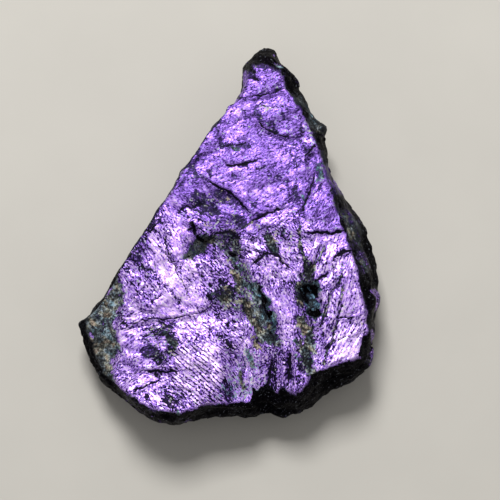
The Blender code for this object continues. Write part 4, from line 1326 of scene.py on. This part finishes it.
    def broken_walls(self, points: np.ndarray, layers: Layers, streaks: np.ndarray,
                     on_face: np.ndarray) -> np.ndarray:
        """Breaks the walls and the underside into small chips and coats them with crust.

        Args:
            points: The stone's points, in millimetres.
            layers: What is laid on the points; added to here away from the face.
            streaks: Where each point lies along and across its flake; set here away from the face.
            on_face: How far each point belongs to the face.

        Returns:
            How far each point stands out of the wall, in millimetres.
        """
        x, y, z = points.T
        away = 1.0 - on_face
        round_slant, up_slant, inward = self.wall_slant
        around = np.arctan2(y - self.middle[1], x - self.middle[0]) * self.girth
        walls = np.column_stack([around + round_slant * z, z - up_slant * around, inward * np.hypot(x, y)])
        streaks[:] = on_face[:, None] * streaks + away[:, None] * walls
        for coat in COATS:
            layers[coat.layer] += away * (coat.level + sum(each.at(points) for each in coat.grains))
        layers[Layer.SOOT_AND_SHADE] -= away * self.under_soot * fading(z, *self.underside)
        keys, offset = cells(points / self.chip, self.chip_seed)
        seeds = range(self.chip_seed + 1, self.chip_seed + 4)
        lean = np.column_stack([swayed(keys, seed) for seed in seeds])
        step = self.chip_step * swayed(keys, self.chip_seed + 5)
        chips = step + self.chip_lean * (lean * offset).sum(axis=1)
        rough = sum(each.at(points) for each in self.roughness)
        return away * rising(z, *self.rest) * (chips + rough)

    def kept_in_box(self, points: np.ndarray) -> np.ndarray:
        """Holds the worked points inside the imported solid's box, but for a little at the outline."""
        low, high = (np.array(corner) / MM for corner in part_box("purpurite"))
        spare = np.array((self.outline_spare, self.outline_spare, 0.0))
        return np.clip(points, low - spare, high + spare)

    def thin(self, stone: bpy.types.Object, on_face: np.ndarray) -> None:
        """Takes triangles out where the stone is plainest, the face last."""
        group = stone.vertex_groups.new(name="thinning")
        for level in range(self.thinning_levels + 1):
            held = np.flatnonzero(np.round(on_face * self.thinning_levels) == level).tolist()
            group.add(held, 1.0 - self.thinning_hold * level, "REPLACE")
        count = 2 * len(stone.data.polygons)
        self.applied(stone, "DECIMATE", ratio=min(1.0, self.triangles / count), vertex_group="thinning",
                     vertex_group_factor=1.0)
        stone.vertex_groups.clear()


Socket = bpy.types.NodeSocket
Colour = tuple[float, float, float]
Ramp = tuple[tuple[float, Colour], ...]
Blend = tuple[tuple[Enum, float], ...]
Found = dict[Enum, Socket]


@dataclass(frozen=True)
class Step:
    """A soft step that a number is turned into.

    Attributes:
        low: Where the step begins.
        high: Where it ends.
        before: What it gives up to its beginning.
        after: What it gives from its end on.
    """

    low: float
    high: float
    before: float = 0.0
    after: float = 1.0


class Recipe:
    """Writes the nodes of one material.

    Attributes:
        material: The material.
        tree: Its node tree.
    """

    def __init__(self, name: str) -> None:
        """Starts an empty material."""
        self.material = bpy.data.materials.new(name)
        self.material.use_nodes = True
        self.tree = self.material.node_tree
        self.tree.nodes.clear()

    def node(self, kind: str, inputs: dict[str | int, object], **settings: object) -> bpy.types.Node:
        """Adds a node.

        Args:
            kind: The node's type.
            inputs: A socket to link or a value to set, by the input's name or number.
            settings: The node's own settings.

        Returns:
            The node.
        """
        node = self.tree.nodes.new(kind)
        for name, value in settings.items():
            setattr(node, name, value)
        for key, value in inputs.items():
            if isinstance(value, Socket):
                self.tree.links.new(value, node.inputs[key])
            else:
                node.inputs[key].default_value = value
        return node

    def place(self) -> Socket:
        """The place on the object, in metres."""
        return self.node("ShaderNodeTexCoord", {}).outputs["Object"]

    def attribute(self, name: str) -> bpy.types.Node:
        """Reads what is laid on the stone's points."""
        return self.node("ShaderNodeAttribute", {}, attribute_name=name)

    def math(self, operation: str, *terms: object, clamp: bool = False) -> Socket:
        """Adds a sum on numbers and gives its result."""
        node = self.node("ShaderNodeMath", dict(enumerate(terms)), operation=operation, use_clamp=clamp)
        return node.outputs[0]

    def vector(self, operation: str, inputs: dict[str | int, object]) -> Socket:
        """Adds a sum on vectors and gives its result."""
        return self.node("ShaderNodeVectorMath", inputs, operation=operation).outputs[0]

    def total(self, found: Found, blend: Blend, start: float = 0.0) -> Socket:
        """Adds up sockets, each times its own factor, from a first number on."""
        result = start
        for name, factor in blend:
            result = self.math("MULTIPLY_ADD", found[name], factor, result)
        return result

    def stretched(self, vector: Socket, scale: tuple[float, float, float]) -> Socket:
        """Scales coordinates by a number for each direction."""
        return self.node("ShaderNodeMapping", {"Vector": vector, "Scale": scale}).outputs[0]

    def noise(self, vector: Socket, detail: float, roughness: float) -> Socket:
        """Smooth noise about nought, mostly from -0.25 to 0.25."""
        node = self.node("ShaderNodeTexNoise", {"Vector": vector, "Scale": 1.0, "Detail": detail,
                                                "Roughness": roughness})
        return self.math("SUBTRACT", node.outputs[0], 0.5)

    def cells(self, vector: Socket, scale: float = 1.0, feature: str = "F1") -> bpy.types.Node:
        """Irregular cells about one unit wide at a scale of one."""
        return self.node("ShaderNodeTexVoronoi", {"Vector": vector, "Scale": scale}, feature=feature)

    def part(self, colour: Socket) -> Socket:
        """The first part of a colour, as a number."""
        return self.node("ShaderNodeSeparateColor", {0: colour}).outputs[0]

    def centred(self, colour: Socket) -> Socket:
        """A random colour as a vector about nought."""
        return self.vector("SUBTRACT", {0: colour, 1: (0.5, 0.5, 0.5)})

    def off_whole(self, value: Socket, share: float) -> Socket:
        """How far a number lies from the given share of the way to its next whole."""
        return self.math("ABSOLUTE", self.math("SUBTRACT", self.math("FRACT", value), share))

    def edge(self, value: Socket, step: Step) -> Socket:
        """Turns a number into a soft step."""
        inputs = {"Value": value, "From Min": step.low, "From Max": step.high, "To Min": step.before,
                  "To Max": step.after}
        return self.node("ShaderNodeMapRange", inputs, interpolation_type="SMOOTHSTEP").outputs[0]

    def mix(self, factor: object, first: object, second: object, blend: str = "MIX") -> Socket:
        """Mixes two colours."""
        inputs = {0: factor, 6: first, 7: second}
        return self.node("ShaderNodeMix", inputs, data_type="RGBA", blend_type=blend).outputs[2]

    def ramp(self, factor: Socket, stops: Ramp) -> Socket:
        """Reads a colour off a row of stops."""
        node = self.node("ShaderNodeValToRGB", {0: factor})
        elements = node.color_ramp.elements
        while len(elements) < len(stops):
            elements.new(0.5)
        for element, (place, colour) in zip(elements, stops):
            element.position = place
            element.color = (*colour, 1.0)
        return node.outputs[0]

    def finish(self, shader: bpy.types.Node) -> bpy.types.Material:
        """Puts the shader on the surface and gives the material."""
        self.node("ShaderNodeOutputMaterial", {"Surface": shader.outputs[0]})
        return self.material


class Pattern(Enum):
    """What the stone's finish works out from noise and from the layers.

    BROAD and FINE are streaks, CHIPS and SPECKLE follow the streaks too, and BLOTCHES and GRIT lie in space.
    FLAKE is how light each small flake is, and ACROSS the place across the streaks. DARK and BRIGHT are
    chips, HAIRLINE a net of fine cracks, PIT small holes, STEP the edge of a fine cleavage step and COMB the
    thin straight lines. CRUSTED, SOOTED_AND_SHADED and SPLIT are where crust, black and open cracks show; the
    black is the real coating and painted shade along shadowed edges and walls. NET and the names that end in
    DISTANCE or SIZE are the numbers that hairlines, pits, steps and lines come from.
    """

    BROAD = auto()
    FINE = auto()
    CHIPS = auto()
    SPECKLE = auto()
    BLOTCHES = auto()
    GRIT = auto()
    FLAKE = auto()
    ACROSS = auto()
    DARK = auto()
    BRIGHT = auto()
    NET = auto()
    HAIRLINE = auto()
    PIT_DISTANCE = auto()
    PIT_SIZE = auto()
    PIT = auto()
    STEP_DISTANCE = auto()
    STEP = auto()
    COMB_DISTANCE = auto()
    COMB = auto()
    CRUSTED = auto()
    SOOTED_AND_SHADED = auto()
    SPLIT = auto()


@dataclass(frozen=True)
class Noise:
    """Smooth noise of one kind.

    Attributes:
        scale: How fine it is, along the streaks, across them and from flake to flake, or in space.
        detail: How many finer kinds are added to it.
        roughness: How strong those are.
        laid: Whether it follows the streaks.
    """

    scale: tuple[float, float, float]
    detail: float = 2.0
    roughness: float = 0.55
    laid: bool = True


NOISES = {
    Pattern.BROAD: Noise((0.35, 2.2, 1.0)),
    Pattern.FINE: Noise((1.0, 5.0, 1.0), 2.0, 0.6),
    Pattern.CHIPS: Noise((1.1, 2.4, 1.0), 1.0, 0.5),
    Pattern.SPECKLE: Noise((3.6, 5.4, 1.0), 1.0, 0.6),
    Pattern.BLOTCHES: Noise((1.0, 1.0, 1.0), 3.0, 0.6, laid=False),
    Pattern.GRIT: Noise((2.9, 2.9, 2.9), 2.0, 0.65, laid=False),
}


@dataclass(frozen=True)
class StoneFinish:
    """Satin purple cleavage with streaks and glints, some of them painted, under grey crust and a black
    coating that also carries painted shade.

    Attributes:
        purples: The purple from dark to light.
        greys: The crust from dark to light.
        casts: What colours the crust, by its kind.
        blacks: The black coating and painted shade from dark to light; its lightest grains are painted
            glints.
        split_black: The black inside an open crack.
        sheen: How metallic the clean face is.
        crust_sheen: How metallic the crust is.
        satin: How rough the clean face is.
        bending: How strongly the fine relief bends the light.
        flake_scale: How fine the small flakes are, along the streaks, across them and from flake to flake.
        flake_tilt: How far they tip the light.
        net_scale: The same as the flakes' for the net of fine cracks.
        net_bend: How fine and how far that net is bent.
        pit_scale: How many pits there are to a millimetre.
        chip_blend: What makes dark and bright chips.
        dark_step: Where dark chips show.
        bright_step: Where bright chips show.
        net_blend: What widens and breaks the fine cracks.
        net_step: Where they show.
        pit_blend: What shapes the pits.
        pit_step: Where they show.
        terrace_blend: What counts the fine cleavage steps.
        terrace_edge: Where between two steps the edge lies.
        step_blend: What breaks that edge.
        step_step: Where it shows.
        comb_blend: What counts the thin straight lines.
        comb_place: Where between two whole counts a line lies.
        comb_break: What breaks them.
        comb_step: What they take from the light and give to it.
        texture: How the light and dark is broken up.
        tones: What lightens and darkens the purple.
        daylight: How light the purple is on the whole.
        crust_blend: What makes the crust's edge ragged.
        crust_step: Where the crust shows.
        soot_and_shade_blend: What makes the edge of the black coating and painted shade ragged.
        soot_and_shade_step: Where it shows.
        split_blend: What makes the open cracks' edges ragged.
        split_step: Where they show.
        clumps: How light the crust is from grain to grain.
        clump_level: How light it is on the whole.
        hue_blend: How the crust's kind wanders.
        black_blend: How light the black coating and painted shade are from grain to grain, up to painted
            glints.
        black_level: How light it is on the whole.
        rough_blend: What makes the stone rougher or smoother than the clean face.
        relief: The fine relief, in millimetres.
        ior: The index of refraction.
        specular: How strong the plain reflection is.
    """

    purples: Ramp = (
        (0.0, (0.002, 0.001, 0.009)),
        (0.2, (0.014, 0.006, 0.05)),
        (0.33, (0.062, 0.026, 0.17)),
        (0.43, (0.165, 0.077, 0.40)),
        (0.52, (0.30, 0.150, 0.65)),
        (0.64, (0.455, 0.260, 0.84)),
        (0.78, (0.63, 0.40, 0.93)),
        (0.9, (0.73, 0.50, 0.92)),
        (1.0, (0.84, 0.65, 0.95)),
    )
    greys: Ramp = (
        (0.0, (0.003, 0.004, 0.006)),
        (0.34, (0.02, 0.022, 0.026)),
        (0.56, (0.085, 0.09, 0.095)),
        (0.78, (0.19, 0.205, 0.22)),
        (1.0, (0.44, 0.48, 0.51)),
    )
    casts: Ramp = (
        (0.0, (0.92, 0.68, 0.50)),
        (0.2, (0.82, 0.80, 0.62)),
        (0.45, (0.74, 0.78, 0.86)),
        (0.75, (0.48, 0.74, 0.82)),
        (1.0, (0.27, 0.54, 0.80)),
    )
    blacks: Ramp = (
        (0.0, (0.001, 0.001, 0.0015)),
        (0.7, (0.004, 0.003, 0.005)),
        (0.9, (0.02, 0.02, 0.026)),
        # the lightest stop: white specks as painted glints
        (1.0, (0.14, 0.15, 0.18)),
    )
    split_black: Colour = (0.005, 0.003, 0.012)
    sheen: float = 0.55
    crust_sheen: float = 0.05
    satin: float = 0.46
    bending: float = 0.8
    flake_scale: tuple[float, float, float] = (1.3, 3.2, 1.0)
    flake_tilt: float = 0.1
    net_scale: tuple[float, float, float] = (0.45, 0.8, 1.0)
    net_bend: tuple[float, float] = (1.6, 0.5)
    pit_scale: float = 1.3
    chip_blend: Blend = ((Layer.MOSAIC, 1.0), (Pattern.CHIPS, 0.8), (Pattern.GRIT, 0.5),
                         (Pattern.SPECKLE, 0.9), (Pattern.BLOTCHES, 0.35))
    dark_step: Step = Step(-0.27, -0.19, 1.0, 0.0)
    bright_step: Step = Step(0.15, 0.27)
    net_blend: Blend = ((Pattern.NET, 1.0), (Pattern.BLOTCHES, 0.22), (Pattern.GRIT, 0.1))
    net_step: Step = Step(0.012, 0.04, 1.0, 0.0)
    pit_blend: Blend = ((Pattern.PIT_DISTANCE, 1.0), (Pattern.PIT_SIZE, 0.16), (Pattern.SPECKLE, 0.3))
    pit_step: Step = Step(0.13, 0.2, 1.0, 0.0)
    terrace_blend: Blend = ((Layer.TERRACE, 1.0), (Pattern.GRIT, 1.0))
    terrace_edge: float = 0.9
    step_blend: Blend = ((Pattern.STEP_DISTANCE, 1.0), (Pattern.BLOTCHES, -0.12))
    step_step: Step = Step(0.02, 0.08, 1.0, 0.0)
    comb_blend: Blend = ((Pattern.ACROSS, 2.3), (Pattern.BLOTCHES, 0.3), (Pattern.BROAD, 0.35))
    comb_place: float = 0.5
    comb_break: Blend = ((Pattern.COMB_DISTANCE, 1.0), (Pattern.SPECKLE, 0.3))
    comb_step: Step = Step(0.08, 0.26, -0.46, 0.1)
    texture: Blend = ((Pattern.BROAD, 0.3), (Pattern.FINE, 1.05), (Pattern.BLOTCHES, 0.2),
                      (Pattern.GRIT, 0.3), (Pattern.SPECKLE, 2.1), (Pattern.FLAKE, 0.1),
                      (Pattern.HAIRLINE, -0.17), (Pattern.PIT, -0.22))
    tones: Blend = ((Layer.TONE, 1.0), (Pattern.DARK, -0.24), (Pattern.BRIGHT, 0.11), (Pattern.STEP, -0.14),
                    (Pattern.COMB, 1.0))
    daylight: float = 0.485
    crust_blend: Blend = ((Layer.CRUST, 1.0), (Pattern.BLOTCHES, 1.2), (Pattern.GRIT, 1.9),
                          (Pattern.SPECKLE, 1.9))
    crust_step: Step = Step(0.43, 0.55)
    soot_and_shade_blend: Blend = ((Layer.SOOT_AND_SHADE, 1.0), (Pattern.BLOTCHES, 0.7), (Pattern.GRIT, 1.0),
                         (Pattern.SPECKLE, 0.9))
    soot_and_shade_step: Step = Step(0.42, 0.58)
    split_blend: Blend = ((Layer.CRACKED, 1.0), (Pattern.GRIT, 0.5), (Pattern.SPECKLE, 0.4))
    split_step: Step = Step(0.5, 0.64)
    clumps: Blend = ((Pattern.SPECKLE, 1.6), (Pattern.GRIT, 2.0), (Pattern.BLOTCHES, 1.9), (Layer.TONE, 1.1))
    clump_level: float = 0.52
    hue_blend: Blend = ((Layer.CRUST_HUE, 1.0), (Pattern.BLOTCHES, -2.0), (Pattern.GRIT, 0.9))
    black_blend: Blend = ((Pattern.SPECKLE, 2.2), (Pattern.FINE, 0.8))
    black_level: float = 0.5
    rough_blend: Blend = ((Pattern.CRUSTED, 0.25), (Pattern.SPECKLE, -0.2), (Pattern.DARK, 0.15),
                          (Pattern.SPLIT, 0.3), (Pattern.SOOTED_AND_SHADED, 0.05))
    relief: Blend = ((Pattern.BROAD, 0.016), (Pattern.FINE, 0.012), (Pattern.SPECKLE, 0.008),
                     (Pattern.GRIT, 0.009), (Pattern.DARK, -0.012), (Pattern.HAIRLINE, -0.012),
                     (Pattern.PIT, -0.02))
    ior: float = 1.5
    specular: float = 0.25

    def material(self) -> bpy.types.Material:
        """Makes the finish.

        Returns:
            The material.
        """
        recipe = Recipe("purple_stone")
        place = recipe.stretched(recipe.place(), (1.0 / MM,) * 3)
        laid = recipe.attribute("streaks").outputs["Vector"]
        flake = recipe.cells(recipe.stretched(laid, self.flake_scale)).outputs["Color"]
        found = {layer: recipe.attribute(layer.value).outputs["Fac"] for layer in Layer}
        for pattern, noise in NOISES.items():
            stretched = recipe.stretched(laid if noise.laid else place, noise.scale)
            found[pattern] = recipe.noise(stretched, noise.detail, noise.roughness)
        found[Pattern.FLAKE] = recipe.part(flake)
        self.find_breaks(recipe, found, laid, place)
        for pattern, blend, step in (
            (Pattern.CRUSTED, self.crust_blend, self.crust_step),
            (Pattern.SOOTED_AND_SHADED, self.soot_and_shade_blend, self.soot_and_shade_step),
            (Pattern.SPLIT, self.split_blend, self.split_step),
        ):
            found[pattern] = recipe.edge(recipe.total(found, blend), step)
        bare = recipe.math("SUBTRACT", 1.0, found[Pattern.CRUSTED])
        metallic = recipe.math("MULTIPLY_ADD", bare, self.sheen - self.crust_sheen, self.crust_sheen)
        rough = recipe.math("ADD", recipe.total(found, self.rough_blend), self.satin, clamp=True)
        shader = recipe.node("ShaderNodeBsdfPrincipled", {
            "Base Color": self.colour(recipe, found),
            "Metallic": recipe.math("MAXIMUM", metallic, found[Pattern.SOOTED_AND_SHADED]),
            "Roughness": rough,
            "Normal": self.facing(recipe, found, flake),
            "IOR": self.ior,
            "Specular IOR Level": self.specular,
        })
        return recipe.finish(shader)

    def find_breaks(self, recipe: Recipe, found: Found, laid: Socket, place: Socket) -> None:
        """Works out the chips, fine cracks, pits, fine steps and thin lines.

        Args:
            recipe: The material's nodes.
            found: The layers and patterns worked out so far; added to here.
            laid: The place along and across the streaks.
            place: The place in space, in millimetres.
        """
        broken = found[Layer.BROKEN]
        chips = recipe.total(found, self.chip_blend)
        found[Pattern.DARK] = recipe.math("MULTIPLY", recipe.edge(chips, self.dark_step), broken)
        found[Pattern.BRIGHT] = recipe.math("MULTIPLY", recipe.edge(chips, self.bright_step), broken)
        fineness, reach = self.net_bend
        net = recipe.stretched(laid, self.net_scale)
        cloud = recipe.node("ShaderNodeTexNoise", {"Vector": net, "Scale": fineness, "Detail": 1.0})
        shift = recipe.centred(cloud.outputs[1])
        net = recipe.vector("MULTIPLY_ADD", {0: shift, 1: (reach,) * 3, 2: net})
        found[Pattern.NET] = recipe.cells(net, feature="DISTANCE_TO_EDGE").outputs[0]
        found[Pattern.HAIRLINE] = recipe.edge(recipe.total(found, self.net_blend), self.net_step)
        pits = recipe.cells(place, self.pit_scale)
        found[Pattern.PIT_DISTANCE] = pits.outputs["Distance"]
        found[Pattern.PIT_SIZE] = recipe.part(pits.outputs["Color"])
        found[Pattern.PIT] = recipe.edge(recipe.total(found, self.pit_blend), self.pit_step)
        counted = recipe.total(found, self.terrace_blend)
        found[Pattern.STEP_DISTANCE] = recipe.off_whole(counted, self.terrace_edge)
        found[Pattern.STEP] = recipe.edge(recipe.total(found, self.step_blend), self.step_step)
        found[Pattern.ACROSS] = recipe.node("ShaderNodeSeparateXYZ", {0: laid}).outputs[1]
        counted = recipe.total(found, self.comb_blend)
        found[Pattern.COMB_DISTANCE] = recipe.off_whole(counted, self.comb_place)
        comb = recipe.edge(recipe.total(found, self.comb_break), self.comb_step)
        found[Pattern.COMB] = recipe.math("MULTIPLY", comb, found[Layer.LINES])

    def colour(self, recipe: Recipe, found: Found) -> Socket:
        """Purple, crust over it, black coating and painted shade over both, and black cracks through all.

        Args:
            recipe: The material's nodes.
            found: The layers and patterns.

        Returns:
            The colour.
        """
        tones = recipe.total(found, self.tones, self.daylight)
        light = recipe.math("MULTIPLY_ADD", recipe.total(found, self.texture), found[Layer.BROKEN], tones)
        grey = recipe.ramp(recipe.total(found, self.clumps, self.clump_level), self.greys)
        cast = recipe.ramp(recipe.total(found, self.hue_blend), self.casts)
        black = recipe.ramp(recipe.total(found, self.black_blend, self.black_level), self.blacks)
        crust = recipe.mix(1.0, grey, cast, "MULTIPLY")
        colour = recipe.mix(found[Pattern.CRUSTED], recipe.ramp(light, self.purples), crust)
        # black coating, and painted shade where edges and walls lay in shadow, laid over purple and crust
        colour = recipe.mix(found[Pattern.SOOTED_AND_SHADED], colour, black)
        return recipe.mix(found[Pattern.SPLIT], colour, (*self.split_black, 1.0))

    def facing(self, recipe: Recipe, found: Found, flake: Socket) -> Socket:
        """Bends the light with the fine relief, and tips it from small flake to small flake.

        Args:
            recipe: The material's nodes.
            found: The layers and patterns.
            flake: A random colour for each small flake.

        Returns:
            The normal.
        """
        broken = found[Layer.BROKEN]
        relief = recipe.math("MULTIPLY", recipe.total(found, self.relief), broken)
        bump = recipe.node("ShaderNodeBump", {"Height": relief, "Strength": self.bending, "Distance": MM})
        share = recipe.math("MULTIPLY", broken, self.flake_tilt)
        tilt = recipe.vector("SCALE", {0: recipe.centred(flake), "Scale": share})
        return recipe.vector("NORMALIZE", {0: recipe.vector("ADD", {0: bump.outputs[0], 1: tilt})})


@dataclass(frozen=True)
class FloorFinish:
    """Plain pale matt floor.

    Attributes:
        pale: The floor's colour.
        lighter: How much lighter it is in places.
        clouding: Where those places begin and end.
        cloud_scale: How many of them there are to a metre.
        cloud_detail: How many finer kinds are added to them.
        cloud_roughness: How strong those are.
        roughness: How matt it is.
    """

    pale: Colour = (0.46, 0.44, 0.40)
    lighter: float = 1.05
    clouding: Step = Step(-0.3, 0.3)
    cloud_scale: float = 60.0
    cloud_detail: float = 3.0
    cloud_roughness: float = 0.55
    roughness: float = 0.85

    def material(self) -> bpy.types.Material:
        """Makes the finish.

        Returns:
            The material.
        """
        recipe = Recipe("pale_floor")
        place = recipe.stretched(recipe.place(), (self.cloud_scale,) * 3)
        cloud = recipe.noise(place, self.cloud_detail, self.cloud_roughness)
        light = tuple(value * self.lighter for value in self.pale)
        colour = recipe.mix(recipe.edge(cloud, self.clouding), (*self.pale, 1.0), (*light, 1.0))
        shader = recipe.node("ShaderNodeBsdfPrincipled", {"Base Color": colour, "Roughness": self.roughness})
        return recipe.finish(shader)


@dataclass
class Floor:
    """The plain floor under the stone.

    Attributes:
        half_side: Half its side, in metres.
        gap: How far it lies below the stone's resting spot, in metres.
    """

    half_side: float = 1.5
    gap: float = 0.00002

    def build(self) -> bpy.types.Object:
        """Makes the floor.

        Returns:
            The floor.
        """
        work = bmesh.new()
        bmesh.ops.create_grid(work, x_segments=1, y_segments=1, size=self.half_side)
        bmesh.ops.translate(work, verts=work.verts, vec=(0.0, 0.0, -self.gap))
        mesh = bpy.data.meshes.new("floor")
        work.to_mesh(mesh)
        work.free()
        mesh.materials.append(FloorFinish().material())
        floor = bpy.data.objects.new("floor", mesh)
        bpy.context.scene.collection.objects.link(floor)
        return floor


@dataclass
class Studio:
    """Plain soft light: one large softbox beyond the tip of the stone, and a weak even fill.

    Attributes:
        power: The softbox's power, in watts.
        side: The softbox's side, in metres.
        distance: From the stone to the softbox, in metres.
        azimuth: Where it stands, in degrees from +X towards +Y.
        elevation: How high it stands, in degrees.
        fill: The strength of the even fill.
    """

    power: float = 2.9
    side: float = 0.16
    distance: float = 0.5
    azimuth: float = 100.0
    elevation: float = 54.0
    fill: float = 0.38

    def build(self) -> None:
        """Lights the scene."""
        data = bpy.data.lights.new("softbox", "AREA")
        data.size = self.side
        data.energy = self.power
        softbox = bpy.data.objects.new("softbox", data)
        around = math.radians(self.azimuth)
        up = math.radians(self.elevation)
        away = Vector((math.cos(around) * math.cos(up), math.sin(around) * math.cos(up), math.sin(up)))
        softbox.location = away * self.distance
        softbox.rotation_euler = away.to_track_quat("Z", "Y").to_euler()
        bpy.context.scene.collection.objects.link(softbox)
        world = bpy.data.worlds.new("fill")
        world.use_nodes = True
        world.node_tree.nodes["Background"].inputs["Strength"].default_value = self.fill
        world.node_tree.nodes["Background"].inputs["Color"].default_value = (1.0, 1.0, 1.0, 1.0)
        bpy.context.scene.world = world
        bpy.context.scene.view_settings.view_transform = "Standard"


def main() -> None:
    """Builds the stone and the plain studio for its picture, and logs the stone's triangle count."""
    logging.basicConfig(level=logging.INFO, format="%(name)s: %(message)s")
    view = Viewpoint()
    view.camera()
    stone = Stone().build(view)
    LOG.info("%s has %d triangles", stone.name, len(stone.data.polygons))
    floor = Floor().build()
    LOG.info("%s is laid", floor.name)
    Studio().build()


if __name__ == "__main__":
    main()
